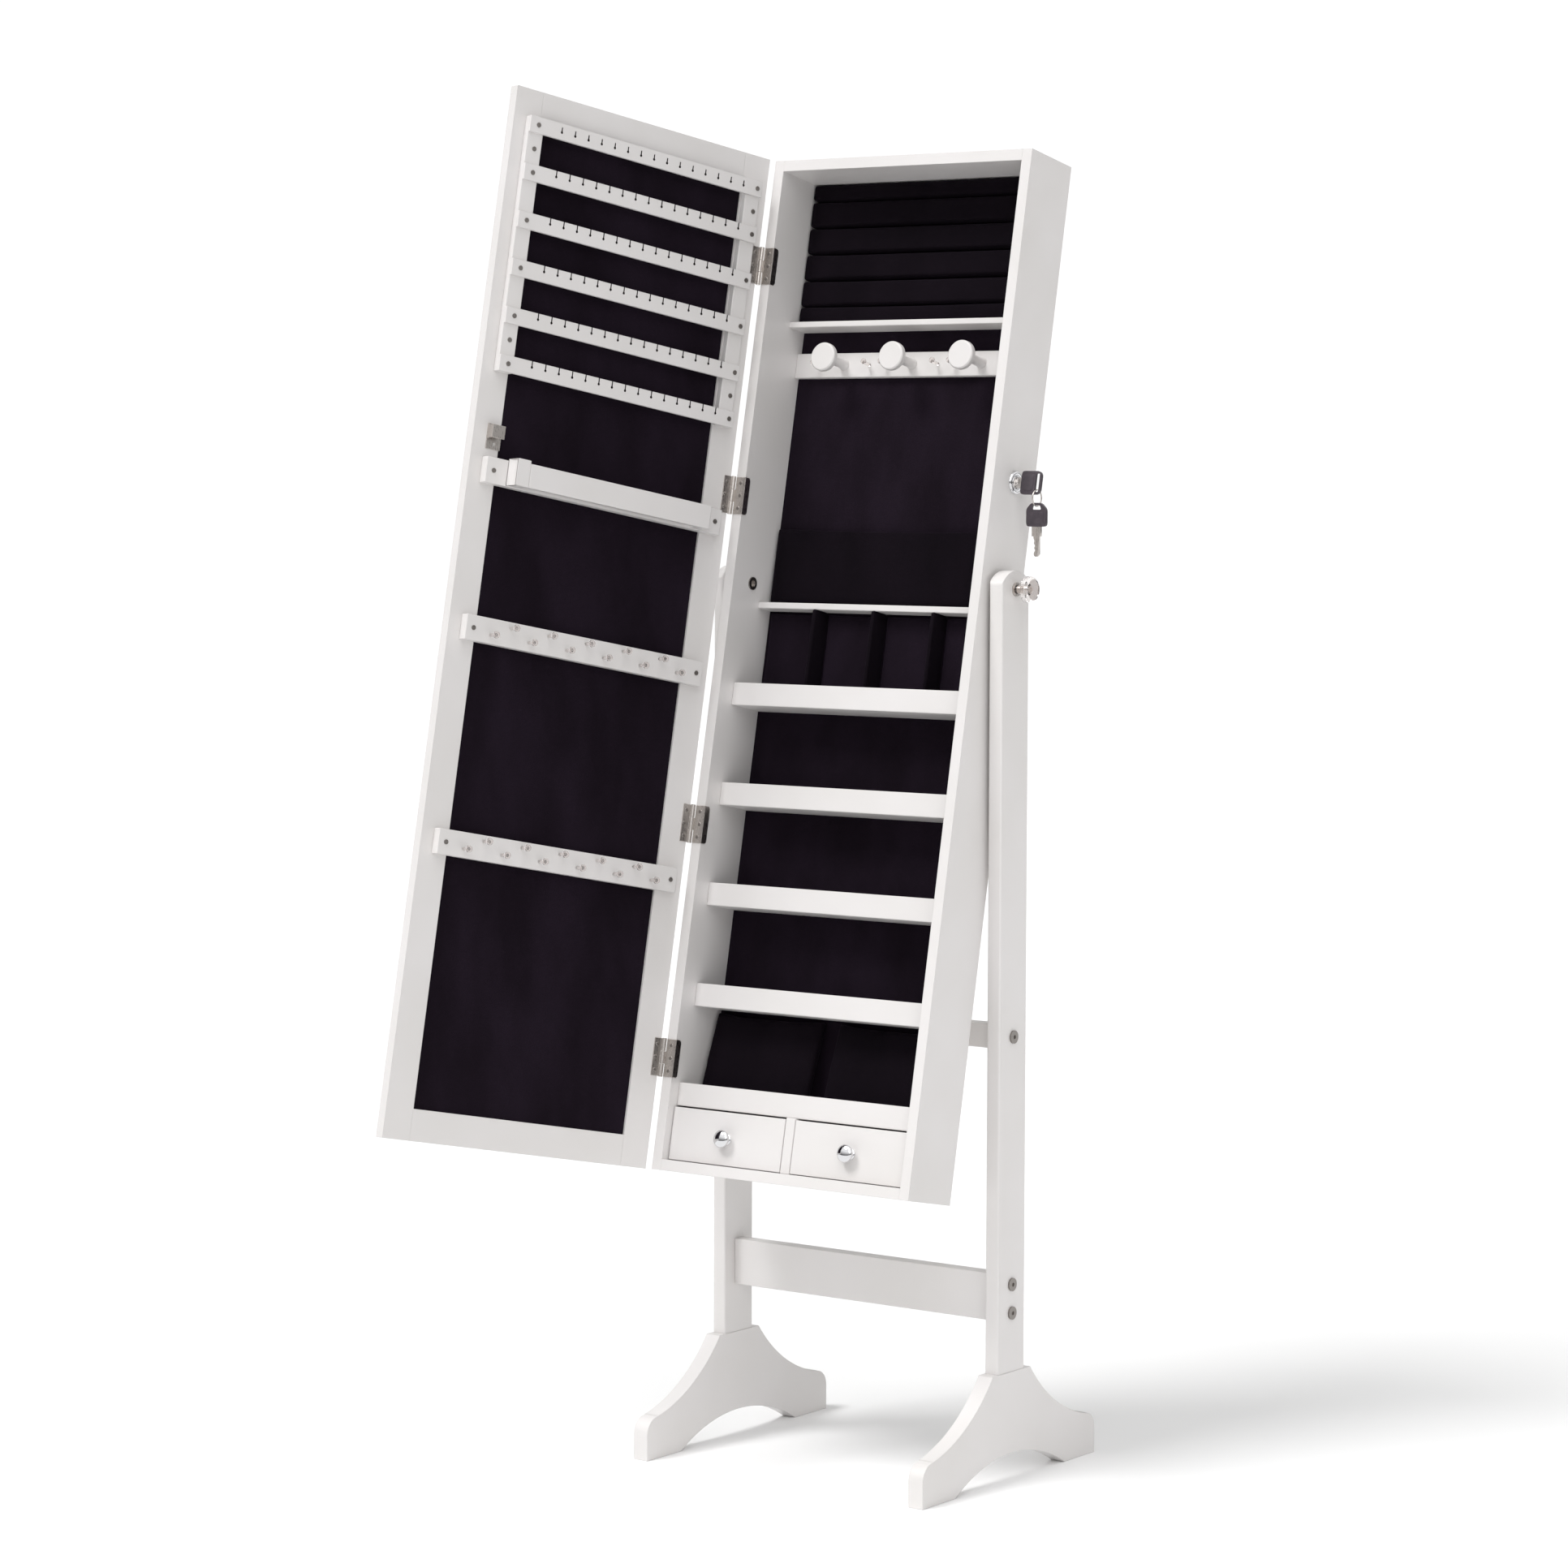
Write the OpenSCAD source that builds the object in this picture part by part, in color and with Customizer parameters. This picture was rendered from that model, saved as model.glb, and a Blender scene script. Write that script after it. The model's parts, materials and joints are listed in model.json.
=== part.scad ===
// Cheval floor mirror: a tilting jewellery cabinet with a mirrored door, carried between two uprights.
// Millimetres. X runs to the right of someone facing the front, the front faces -Y, Z is up.
// The origin is on the floor, under the middle of the whole part as it stands at rest with the door open.

/* [Pose at rest] */
// How far the cabinet leans back, in degrees
rest_tilt = 11.44; // [0:0.1:25]
// How far the door stands open, in degrees
rest_open = 106.9; // [60:0.1:140]

/* [Stand] */
// Gap between the cabinet's side and an upright
side_gap = 4.8; // [2:0.1:12]
// Thickness of an upright, across the front
upright_t = 18; // [14:0.5:26]
// Depth of an upright, front to back
upright_d = 55; // [40:1:80]
// Height of the tilt axis above the floor
pivot_z = 1021.5; // [800:0.5:1300]
// How far an upright goes on above the tilt axis
upright_over = 21; // [14:0.5:40]
// Rise of the arched top of an upright
upright_arch = 14; // [6:0.5:24]
// Radius of the shoulders of an upright's arched top
upright_shoulder_r = 8; // [2:0.5:12]
// Radius on the long edges of an upright
upright_edge_r = 2.5; // [0.5:0.5:6]
// Thickness of a foot
foot_t = 20; // [16:0.5:30]
// Length of a foot, front to back
foot_len = 357; // [260:1:460]
// Height of a foot where it meets its upright
foot_h = 126; // [90:1:170]
// Length of the flat top of a foot, upright depth included
foot_top = 78; // [60:1:110]
// Radius of the hollow curve on top of a foot
foot_curve_r = 207; // [150:1:300]
// Height of the toe where the hollow curve ends
foot_toe_h = 50; // [35:1:70]
// Radius that rounds the toe
foot_toe_r = 20; // [8:1:32]
// Rise of the arch under a foot
foot_arch_h = 31.3; // [15:0.1:45]
// Length of the arch under a foot
foot_arch_len = 228; // [160:1:300]
// Thickness of the two stretchers
stretcher_t = 18; // [14:0.5:26]
// Height of the lower stretcher
lower_stretcher_h = 55; // [35:1:80]
// Height of the lower stretcher's bottom edge above the floor
lower_stretcher_z = 184; // [140:1:260]
// Height of the upper stretcher
upper_stretcher_h = 28; // [20:1:50]
// Height of the upper stretcher's bottom edge above the floor
upper_stretcher_z = 498; // [380:1:640]
// Diameter of a stand bolt's head
bolt_head_d = 15; // [9:0.5:20]
// Height of a stand bolt's head
bolt_head_h = 2.2; // [1:0.1:4]
// Diameter of a stand bolt's shank
bolt_d = 6; // [4:0.5:8]
// Diameter of the dowels between foot and upright
dowel_d = 8; // [6:1:10]

/* [Tilt pivots] */
// Diameter of the threaded stud of a tilt knob
stud_d = 8; // [6:0.5:10]
// Radial clearance of the stud in the upright and the insert
stud_clear = 0.06; // [0.01:0.01:0.1]
// Diameter of the clear knob
knob_d = 30; // [22:1:42]
// Thickness of the clear knob's head
knob_head = 12; // [8:0.5:20]
// Length of the knob's narrow neck
knob_neck = 10; // [5:0.5:20]
// Diameter of the knob's metal washer
knob_washer_d = 16; // [12:0.5:22]
// Thickness of the knob's metal washer
knob_washer_t = 1.8; // [1:0.1:3]
// Diameter of the insert's flange on the cabinet's inner face
insert_d = 9; // [8.5:0.5:14]

/* [Cabinet] */
// Width of the cabinet
cab_w = 363; // [290:1:440]
// Depth of the cabinet without its door
cab_d = 84; // [70:1:120]
// Height of the cabinet
cab_h = 1200; // [960:1:1440]
// Height of the cabinet's top above the tilt axis
cab_over = 502; // [400:1:620]
// Distance from the tilt axis to the cabinet's front edge
cab_front = 37.5; // [30:0.5:50]
// Thickness of the cabinet's boards
board_t = 13; // [10:0.5:18]
// Thickness of the back panel
back_t = 3; // [2:0.5:6]
// Thickness of the velvet lining on the back panel
lining_t = 1.2; // [0.8:0.1:2]
// How far the back panel is let in from the sides' back edges
back_inset = 0.8; // [0:0.1:6]

/* [Shelves] */
// Height of the cabinet's ring panel
ring_h = 170; // [120:1:220]
// Thickness of the ring panel
ring_t = 17; // [10:0.5:24]
// Number of slits for rings in the ring panel
ring_rows = 5; // [3:1:8]
// Thickness of the two thin shelves
thin_t = 7; // [5:0.5:10]
// Distance of the upper thin shelf's front edge behind the cabinet's front
thin_back_1 = 47.5; // [30:0.5:60]
// Distance of the lower thin shelf's front edge behind the cabinet's front
thin_back_2 = 54; // [30:0.5:60]
// Height of the lower thin shelf's underside below the tilt axis
thin_z_2 = 26.5; // [10:0.5:60]
// Height of a shelf's front lip
lip_h = 27; // [18:0.5:40]
// Thickness of a shelf's front lip
lip_t = 9; // [6:0.5:12]
// Thickness of a lipped shelf's board
shelf_t = 8; // [5:0.5:10]
// Distance of the lips behind the cabinet's front
lip_back = 25.5; // [20:0.5:40]
// Height of the first lip's bottom edge below the tilt axis
lip_z = 147; // [120:1:180]
// Distance from one lipped shelf to the next
lip_step = 118.8; // [90:0.1:140]
// Distance of the drawer rail behind the cabinet's front
rail_back = 15.5; // [8:0.5:24]
// Height of the hook rail
hook_rail_h = 29.5; // [20:0.5:40]
// Thickness of the hook rail
hook_rail_t = 8; // [5:0.5:12]
// Height of the hook rail's bottom edge above the tilt axis
hook_rail_z = 255; // [200:1:300]
// Diameter of the hook rail's round knobs
disc_d = 34; // [24:1:44]
// Thickness of a round knob's head
disc_t = 9; // [6:0.5:14]
// Distance from the hook rail to the face of a round knob
disc_out = 46; // [25:1:52]
// Spacing of the round knobs
disc_step = 97.5; // [70:0.5:120]
// Height of the pocket's top edge above the tilt axis
pocket_z = 72; // [40:1:110]
// Room inside the pocket, front to back
pocket_room = 9; // [6:0.5:16]
// Thickness of the pocket's stiffened front
pocket_t = 2; // [1.5:0.1:3]
// Thickness of a divider in the row of four compartments
divider_t = 5; // [3:0.5:8]
// Distance of those dividers behind the cabinet's front
divider_back = 52; // [40:0.5:60]
// Thickness of a pad in a compartment
pad_t = 6; // [3:0.5:10]
// Thickness of an earring cushion
cushion_t = 12; // [8:0.5:18]
// Gap between the two earring cushions
cushion_gap = 16; // [8:0.5:24]
// How far the lower ends of the slanted earring cushions stand out from the lining
cushion_stand = 18.6; // [8:0.1:30]

/* [Drawers] */
// Height of the opening for the drawers
drawer_h = 64; // [50:1:90]
// Gap above a drawer front
drawer_gap_top = 1.8; // [1:0.1:3]
// Gap at the sides of a drawer front
drawer_gap = 0.8; // [0.5:0.1:2]
// Distance of the drawer fronts behind the cabinet's front
drawer_back = 11; // [8:0.5:20]
// Thickness of a drawer front
drawer_front_t = 10; // [8:0.5:14]
// Thickness of a drawer's side, back and bottom
drawer_wall = 4; // [3:0.5:6]
// Thickness of the divider between the drawers
drawer_divider_t = 13; // [8:0.5:18]
// Diameter of a drawer knob's head
pull_d = 21; // [14:0.5:26]
// How far a drawer knob stands out
pull_out = 15.5; // [10:0.5:17]

/* [Door] */
// Distance from the cabinet's side to the hinge pins, sideways
hinge_out = 2.4; // [1:0.1:5]
// Distance from the cabinet's front edge to the hinge pins
hinge_fore = 2.7; // [1:0.1:5]
// Diameter of a hinge knuckle
knuckle_d = 5.6; // [4:0.2:8]
// Diameter of a hinge pin
pin_d = 2.6; // [2:0.1:4]
// Radial clearance of a pin in the door's knuckles
pin_clear = 0.06; // [0.01:0.01:0.1]
// Height of a hinge
hinge_h = 44; // [30:1:60]
// Thickness of a hinge leaf
leaf_t = 1.2; // [0.8:0.1:2]
// How far a cabinet leaf reaches round on to the inside of the side
leaf_wrap = 8.5; // [6:0.5:16]
// Distance from the pins to the door's inner face
door_set = 1.5; // [1:0.1:3]
// Thickness of the door
door_t = 13.3; // [12:0.1:20]
// Width of the door's frame members
frame_w = 36; // [24:1:50]
// Height of the top and bottom members of the door's frame
frame_h = 36; // [24:1:50]
// Thickness of the mirror glass
mirror_t = 4; // [3:0.5:5]
// Depth of the velvet panel below the door's inner face
panel_deep = 3.5; // [2:0.5:8]
// Depth of the mirror below the door's outer face
mirror_deep = 1; // [0.5:0.5:2]

/* [Door fittings] */
// Thickness of the rails on the door
rail_t = 12; // [8:0.5:16]
// Inset of the rails from the door's side edges
rail_inset = 16; // [8:0.5:24]
// Height of the earring rack's top edge above the tilt axis
rack_z = 470.5; // [380:0.5:480]
// Distance from one rack bar to the next
rack_step = 55.4; // [45:0.1:65]
// Height of a rack bar
rack_bar_h = 19; // [12:0.5:26]
// Thickness of a rack bar
rack_bar_t = 3.5; // [2.5:0.5:6]
// Width of a rack upright
rack_stile_w = 20.5; // [14:0.5:30]
// Spacing of the notches
notch_step = 18.6; // [14:0.1:24]
// Height of the bracelet rail's board
bracelet_h = 30; // [20:0.5:40]
// Height of the bracelet rail's bottom edge above the tilt axis
bracelet_z = 46; // [30:0.5:80]
// How far the bracelet bar stands out from the door
bracelet_out = 32; // [24:0.5:40]
// Height of a peg rail
peg_rail_h = 29; // [20:0.5:40]
// Height of the upper peg rail's top edge below the tilt axis
peg_z_1 = 104.5; // [80:0.5:140]
// Height of the lower peg rail's top edge below the tilt axis
peg_z_2 = 348; // [300:0.5:400]
// Length of a clear peg beyond its rail
peg_len = 13; // [8:0.5:14]
// Diameter of a clear peg
peg_d = 6; // [4:0.5:8]

/* [Lock] */
// Height of the lock above the tilt axis
lock_z = 124; // [90:1:160]
// Distance of the lock behind the tilt axis
lock_y = 7; // [0:0.5:16]
// Diameter of the lock's round plate
lock_plate_d = 24.5; // [18:0.5:30]
// Diameter of the lock's body
lock_body_d = 18; // [14:0.5:20]
// Diameter of the turning plug
plug_d = 11; // [9:0.5:14]
// Radial clearance of the plug in the lock
plug_clear = 0.06; // [0.01:0.01:0.1]
// Width of a key's plastic bow
bow_w = 27; // [20:0.5:32]
// Thickness of a key's plastic bow
bow_t = 3.4; // [2:0.2:5]
// Diameter of the key ring
key_ring_d = 20; // [16:0.5:26]
// Diameter of the key ring's wire
key_wire_d = 1.6; // [1:0.1:2.4]

/* [Hidden] */
// half distances of the stand
up_in = cab_w / 2 + side_gap;
up_mid = up_in + upright_t / 2;
up_out = up_in + upright_t;
upright_top = pivot_z + upright_over;
arch_r = (pow(upright_d / 2, 2) + pow(upright_arch, 2)) / (2 * upright_arch);
foot_arch_r = (pow(foot_arch_len / 2, 2) + pow(foot_arch_h, 2)) / (2 * foot_arch_h);
// hollow curve through the top's end and the toe's end
fx1 = foot_top / 2;
fz1 = foot_h;
fx2 = foot_len / 2 - foot_toe_r + 1;
fz2 = foot_toe_h;
f_chord = norm([fx2 - fx1, fz2 - fz1]);
f_mid_x = (fx1 + fx2) / 2;
f_mid_z = (fz1 + fz2) / 2;
f_away = sqrt(pow(foot_curve_r, 2) - pow(f_chord / 2, 2));
foot_cx = f_mid_x + f_away * (fz1 - fz2) / f_chord;
foot_cz = f_mid_z + f_away * (fx2 - fx1) / f_chord;

// cabinet, measured from the tilt axis
cab_y0 = -cab_front;
cab_y1 = cab_y0 + cab_d;
cab_z1 = cab_over;
cab_z0 = cab_over - cab_h;
in_x = cab_w / 2 - board_t;
in_w = 2 * in_x;
in_z1 = cab_z1 - board_t;
in_z0 = cab_z0 + board_t;
panel_y1 = cab_y1 - back_inset;
panel_y0 = panel_y1 - back_t;
lining_y = panel_y0 - lining_t;
lap = 4;

thin_z_1 = in_z1 - ring_h - 1 - thin_t;
rail_z1 = in_z0 + drawer_h + lip_h;
rail_z0 = in_z0 + drawer_h;
lip_zs = [for (k = [0:3]) -lip_z - k * lip_step];
row_z0 = lip_zs[0] + lip_h;
row_z1 = -thin_z_2;
cushion_top = lip_zs[3];
cushion_low = rail_z0 + shelf_t;
cushion_rise = cushion_top - cushion_low - 4;
cushion_slant = atan(cushion_stand / cushion_rise);
cushion_len = norm([cushion_stand, cushion_rise]);
cushion_w = (in_w - cushion_gap) / 2;

drawer_w = (in_w - drawer_divider_t) / 2 - 2 * drawer_gap;
drawer_x = drawer_divider_t / 2 + drawer_gap + drawer_w / 2;
drawer_y0 = cab_y0 + drawer_back;
drawer_y1 = lining_y - 2;
front_h = drawer_h - drawer_gap_top - 0.8;
front_z0 = in_z0 + 0.8;

// door, measured from the hinge pins: along the door, towards the cabinet, up
hinge_x = -cab_w / 2 - hinge_out;
hinge_y = cab_y0 - hinge_fore;
door_u0 = 3.3;
door_u1 = cab_w + hinge_out - 0.5;
door_w = door_u1 - door_u0;
door_mid = (door_u0 + door_u1) / 2;
door_v1 = -door_set;
door_v0 = door_v1 - door_t;
door_z0 = cab_z0 - 0.5;
door_z1 = cab_z1 + 0.5;
open_u0 = door_u0 + frame_w;
open_u1 = door_u1 - frame_w;
open_z0 = door_z0 + frame_h;
open_z1 = door_z1 - frame_h;
mirror_v0 = door_v0 + mirror_deep;
mirror_v1 = mirror_v0 + mirror_t;
panel_v1 = door_v1 - panel_deep;
rail_u0 = door_u0 + rail_inset - 1.3;
rail_u1 = door_u1 - rail_inset;
rail_v1 = door_v1 + rail_t;
hinge_zs = [cab_z1 - 128, cab_z1 - 404, cab_z0 + 405, cab_z0 + 130];
rack_zs = [for (k = [0:5]) rack_z - rack_bar_h - k * rack_step];
notch_us = [for (k = [0:14]) door_mid - 8.5 + (k - 7) * notch_step];
upper_pegs = [for (k = [0:4]) door_mid + 1 + (2 - k) * 52];
lower_pegs = [for (k = [0:5]) door_mid + 1 + (2.5 - k) * 52];

// lock, measured from the lock's own axis
lock_x = cab_w / 2;
plate_t = 2;
cam_x = lock_x - board_t - 14;
cam_reach = 46.4;
bow_x0 = lock_x + plate_t + 7;
slot_x = bow_x0 + bow_w - 5.2;
slot_z = -bow_w / 2 + 3.2;
strike_u1 = door_u1 - 18;
strike_z = lock_z - 26;

// the middle of the whole part at rest, so that the origin lies under it
far_x = hinge_x + door_u1 * cos(rest_open) + door_v0 * sin(rest_open);
far_y = (hinge_y - door_u1 * sin(rest_open) + door_v1 * cos(rest_open)) * cos(rest_tilt) + door_z0 * sin(rest_tilt);
shift_x = -(far_x + up_out + knob_washer_t + knob_neck + knob_head) / 2;
shift_y = -(far_y + foot_len / 2) / 2;

// ---- placing ----

// puts the stand's own middle where the floor origin asks for it
module placed() {
  translate([shift_x, shift_y, 0])
    children();
}

module in_cabinet() {
  translate([shift_x, shift_y, pivot_z])
    rotate([-rest_tilt, 0, 0])
      children();
}

module in_door() {
  in_cabinet()
    translate([hinge_x, hinge_y, 0])
      rotate([0, 0, -rest_open])
        children();
}

module in_lock() {
  in_cabinet()
    translate([0, lock_y, lock_z])
      children();
}

// a box from one corner to the other
module box(a, b) {
  translate(a)
    cube([b[0] - a[0], b[1] - a[1], b[2] - a[2]]);
}

// a round bar along X from x0 to x1
module bar_x(d, x0, x1) {
  translate([x0, 0, 0])
    rotate([0, 90, 0])
      cylinder(d = d, h = x1 - x0, $fn = 48);
}

// a round bar along Y from y0 to y1
module bar_y(d, y0, y1) {
  translate([0, y0, 0])
    rotate([-90, 0, 0])
      cylinder(d = d, h = y1 - y0, $fn = 32);
}

module both() {
  children();
  mirror([1, 0, 0])
    children();
}

// ---- stand ----

// a rectangle in plan with its four corners rounded
module rounded_plan(w, d, r) {
  square([w - 2 * r, d], center = true);
  square([w, d - 2 * r], center = true);
  for (x = [-1, 1], y = [-1, 1])
    translate([x * (w / 2 - r), y * (d / 2 - r)])
      circle(r = r, $fn = 32);
}

// an upright seen from its side: an arched top with rounded shoulders
module upright_outline() {
  shoulder_z = upright_top - upright_arch;
  offset(r = upright_shoulder_r, $fn = 48)
    offset(delta = -upright_shoulder_r) {
      translate([-upright_d / 2, foot_h - 40])
        square([upright_d, shoulder_z - foot_h + 40]);
      intersection() {
        translate([0, upright_top - arch_r])
          circle(r = arch_r, $fn = 120);
        translate([-upright_d / 2, shoulder_z - 1])
          square([upright_d, upright_arch + 2]);
      }
    }
}

module upright() {
  difference() {
    intersection() {
      translate([up_mid, 0, foot_h])
        linear_extrude(height = upright_top - foot_h)
          rounded_plan(upright_t, upright_d, upright_edge_r);
      translate([up_in - 1, 0, 0])
        rotate([90, 0, 90])
          linear_extrude(height = upright_t + 2)
            upright_outline();
    }
    translate([0, 0, pivot_z])
      bar_x(stud_d + 2 * stud_clear, up_in - 1, up_out + 1);
    for (z = [lower_stretcher_z + 10, lower_stretcher_z + lower_stretcher_h - 12, upper_stretcher_z + upper_stretcher_h / 2])
      translate([0, 0, z])
        bar_x(bolt_d + 0.4, up_in - 1, up_out + 1);
    for (y = [-14, 14])
      translate([up_mid, y, foot_h - 1])
        cylinder(d = dowel_d, h = 21, $fn = 32);
  }
}

module upright_right() {
  color("white") placed() upright();
}

module upright_left() {
  color("white") placed() mirror([1, 0, 0]) upright();
}

// side view of a foot: X is front to back, Y is up
module foot_outline() {
  difference() {
    translate([-foot_len / 2, 0])
      square([foot_len, foot_h]);
    for (s = [-1, 1])
      scale([s, 1]) {
        translate([foot_cx, foot_cz])
          circle(r = foot_curve_r, $fn = 120);
        translate([foot_len / 2 - foot_toe_r, foot_toe_h - foot_toe_r])
          difference() {
            square([foot_toe_r + 1, foot_toe_r + foot_h]);
            circle(r = foot_toe_r, $fn = 64);
          }
      }
    translate([0, foot_arch_h - foot_arch_r])
      circle(r = foot_arch_r, $fn = 120);
  }
}

module foot() {
  difference() {
    translate([up_mid - foot_t / 2, 0, 0])
      rotate([90, 0, 90])
        linear_extrude(height = foot_t)
          foot_outline();
    for (y = [-14, 14])
      translate([up_mid, y, foot_h - 20])
        cylinder(d = dowel_d, h = 21, $fn = 32);
  }
}

module foot_right() {
  color("white") placed() foot();
}

module foot_left() {
  color("white") placed() mirror([1, 0, 0]) foot();
}

module stretcher(z0, h, bolts) {
  difference() {
    box([-up_in, -stretcher_t / 2, z0], [up_in, stretcher_t / 2, z0 + h]);
    both()
      for (z = bolts)
        translate([0, 0, z])
          bar_x(bolt_d, up_in - 30, up_in + 1);
  }
}

module lower_stretcher() {
  color("white") placed()
    stretcher(lower_stretcher_z, lower_stretcher_h,
      [lower_stretcher_z + 10, lower_stretcher_z + lower_stretcher_h - 12]);
}

module upper_stretcher() {
  color("white") placed()
    stretcher(upper_stretcher_z, upper_stretcher_h, [upper_stretcher_z + upper_stretcher_h / 2]);
}

module stand_bolts() {
  color("silver") placed()
    both()
      for (z = [lower_stretcher_z + 10, lower_stretcher_z + lower_stretcher_h - 12, upper_stretcher_z + upper_stretcher_h / 2])
        translate([0, 0, z])
          difference() {
            union() {
              bar_x(bolt_d, up_in - 28, up_out + 0.5);
              bar_x(bolt_head_d, up_out, up_out + bolt_head_h);
            }
            translate([up_out + bolt_head_h - 1.5, 0, 0])
              rotate([0, 90, 0])
                cylinder(d = 5, h = 3, $fn = 6);
          }
}

module foot_dowels() {
  color("burlywood") placed()
    both()
      for (y = [-14, 14])
        translate([up_mid, y, foot_h - 19.5])
          cylinder(d = dowel_d, h = 39, $fn = 32);
}

// the nylon washers that fill the gap between upright and cabinet
module pivot_spacers() {
  color("white") placed()
    both()
      translate([0, 0, pivot_z])
        difference() {
          bar_x(20, cab_w / 2 + 0.3, up_in);
          bar_x(stud_d + 0.4, cab_w / 2 - 1, up_in + 1);
        }
}

// ---- tilt knobs ----

module tilt_knob() {
  translate([up_out + knob_washer_t, 0, pivot_z])
    rotate([0, 90, 0])
      difference() {
        rotate_extrude($fn = 64)
          union() {
            polygon([[0, 0], [5.5, 0], [5, 2], [6.5, knob_neck - 2], [knob_d / 2 - 4, knob_neck],
              [knob_d / 2, knob_neck + 3], [knob_d / 2, knob_neck + knob_head - 3],
              [knob_d / 2 - 3, knob_neck + knob_head], [0, knob_neck + knob_head]]);
          }
        translate([0, 0, -1])
          cylinder(d = stud_d, h = 15, $fn = 48);
      }
}

module tilt_stud() {
  translate([0, 0, pivot_z])
    bar_x(stud_d, cab_w / 2 - board_t + 1, up_out + knob_washer_t + 13.5);
}

module tilt_washer() {
  translate([0, 0, pivot_z])
    difference() {
      bar_x(knob_washer_d, up_out + 0.1, up_out + knob_washer_t);
      bar_x(stud_d, up_out - 1, up_out + 4);
    }
}

module tilt_knob_right() {
  color("lightcyan") placed() tilt_knob();
}

module tilt_knob_left() {
  color("lightcyan") placed() mirror([1, 0, 0]) tilt_knob();
}

module tilt_stud_right() {
  color("silver") placed() tilt_stud();
}

module tilt_stud_left() {
  color("silver") placed() mirror([1, 0, 0]) tilt_stud();
}

module tilt_washer_right() {
  color("silver") placed() tilt_washer();
}

module tilt_washer_left() {
  color("silver") placed() mirror([1, 0, 0]) tilt_washer();
}

// ---- cabinet ----

module side_board() {
  difference() {
    box([in_x, cab_y0, cab_z0], [cab_w / 2, cab_y1, cab_z1]);
    bar_x(13, in_x - 1, cab_w / 2 + 1);
    // groove for the back panel
    box([in_x - 1, panel_y0, cab_z0 + board_t - lap], [in_x + lap, panel_y1, cab_z1 - board_t + lap]);
  }
}

module cabinet_side_left() {
  color("white") in_cabinet() mirror([1, 0, 0]) side_board();
}

module cabinet_side_right() {
  color("white")
    in_cabinet()
      difference() {
        side_board();
        translate([0, lock_y, lock_z])
          bar_x(lock_body_d, in_x - 1, cab_w / 2 + 1);
      }
}

module end_board(z0, z1, groove) {
  difference() {
    box([-in_x, cab_y0, z0], [in_x, cab_y1, z1]);
    box([-in_x - 1, panel_y0, groove[0]], [in_x + 1, panel_y1, groove[1]]);
  }
}

module cabinet_top() {
  color("white") in_cabinet() end_board(in_z1, cab_z1, [in_z1 - 1, in_z1 + lap]);
}

module cabinet_bottom() {
  color("white") in_cabinet() end_board(cab_z0, in_z0, [in_z0 - lap, in_z0 + 1]);
}

module back_panel() {
  color("white")
    in_cabinet()
      box([-in_x - lap, panel_y0, in_z0 - lap], [in_x + lap, panel_y1, in_z1 + lap]);
}

module back_lining() {
  color("black")
    in_cabinet()
      box([-in_x, lining_y, rail_z0], [in_x, panel_y0, in_z1]);
}

// a padded board with a slit for every row of rings
module ring_cushion() {
  z1 = in_z1 - 0.5;
  z0 = z1 - ring_h;
  roll_h = ring_h / (ring_rows + 0.3);
  color("black")
    in_cabinet()
      difference() {
        box([-in_x + 0.4, lining_y - ring_t, z0], [in_x - 0.4, lining_y, z1]);
        for (k = [1:ring_rows])
          box([-in_x + 4, lining_y - ring_t - 1, z0 + (k - 0.35) * roll_h - 0.7],
            [in_x - 4, lining_y - ring_t + 9, z0 + (k - 0.35) * roll_h + 0.7]);
      }
}

module thin_shelves() {
  color("white")
    in_cabinet() {
      box([-in_x, cab_y0 + thin_back_1, thin_z_1], [in_x, lining_y, thin_z_1 + thin_t]);
      box([-in_x, cab_y0 + thin_back_2, -thin_z_2], [in_x, lining_y, -thin_z_2 + thin_t + 0.5]);
    }
}

module shelf_boards() {
  color("white")
    in_cabinet() {
      for (z = lip_zs)
        box([-in_x, cab_y0 + lip_back + lip_t, z], [in_x, lining_y, z + shelf_t]);
      box([-in_x, cab_y0 + rail_back + lip_t, rail_z0], [in_x, lining_y, rail_z0 + shelf_t]);
    }
}

module shelf_lips() {
  color("white")
    in_cabinet() {
      for (z = lip_zs)
        box([-in_x, cab_y0 + lip_back, z], [in_x, cab_y0 + lip_back + lip_t, z + lip_h]);
      box([-in_x, cab_y0 + rail_back, rail_z0], [in_x, cab_y0 + rail_back + lip_t, rail_z1]);
    }
}

module drawer_divider() {
  color("white")
    in_cabinet()
      box([-drawer_divider_t / 2, drawer_y0, in_z0], [drawer_divider_t / 2, panel_y0, rail_z0]);
}

module hook_rail() {
  color("white")
    in_cabinet()
      box([-in_x, lining_y - hook_rail_t, hook_rail_z], [in_x, lining_y, hook_rail_z + hook_rail_h]);
}

hook_face = lining_y - hook_rail_t;
disc_z = hook_rail_z + hook_rail_h / 2 + 0.5;

module round_knobs() {
  color("white")
    in_cabinet()
      for (k = [-1:1])
        translate([k * disc_step, hook_face, disc_z])
          rotate([90, 0, 0])
            rotate_extrude($fn = 64)
              polygon([[0, 0], [7, 0], [5.5, 6], [5.5, disc_out - disc_t - 4], [disc_d / 2 - 2, disc_out - disc_t],
                [disc_d / 2, disc_out - disc_t + 2], [disc_d / 2, disc_out - 1.5], [disc_d / 2 - 1.5, disc_out],
                [0, disc_out]]);
}

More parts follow.
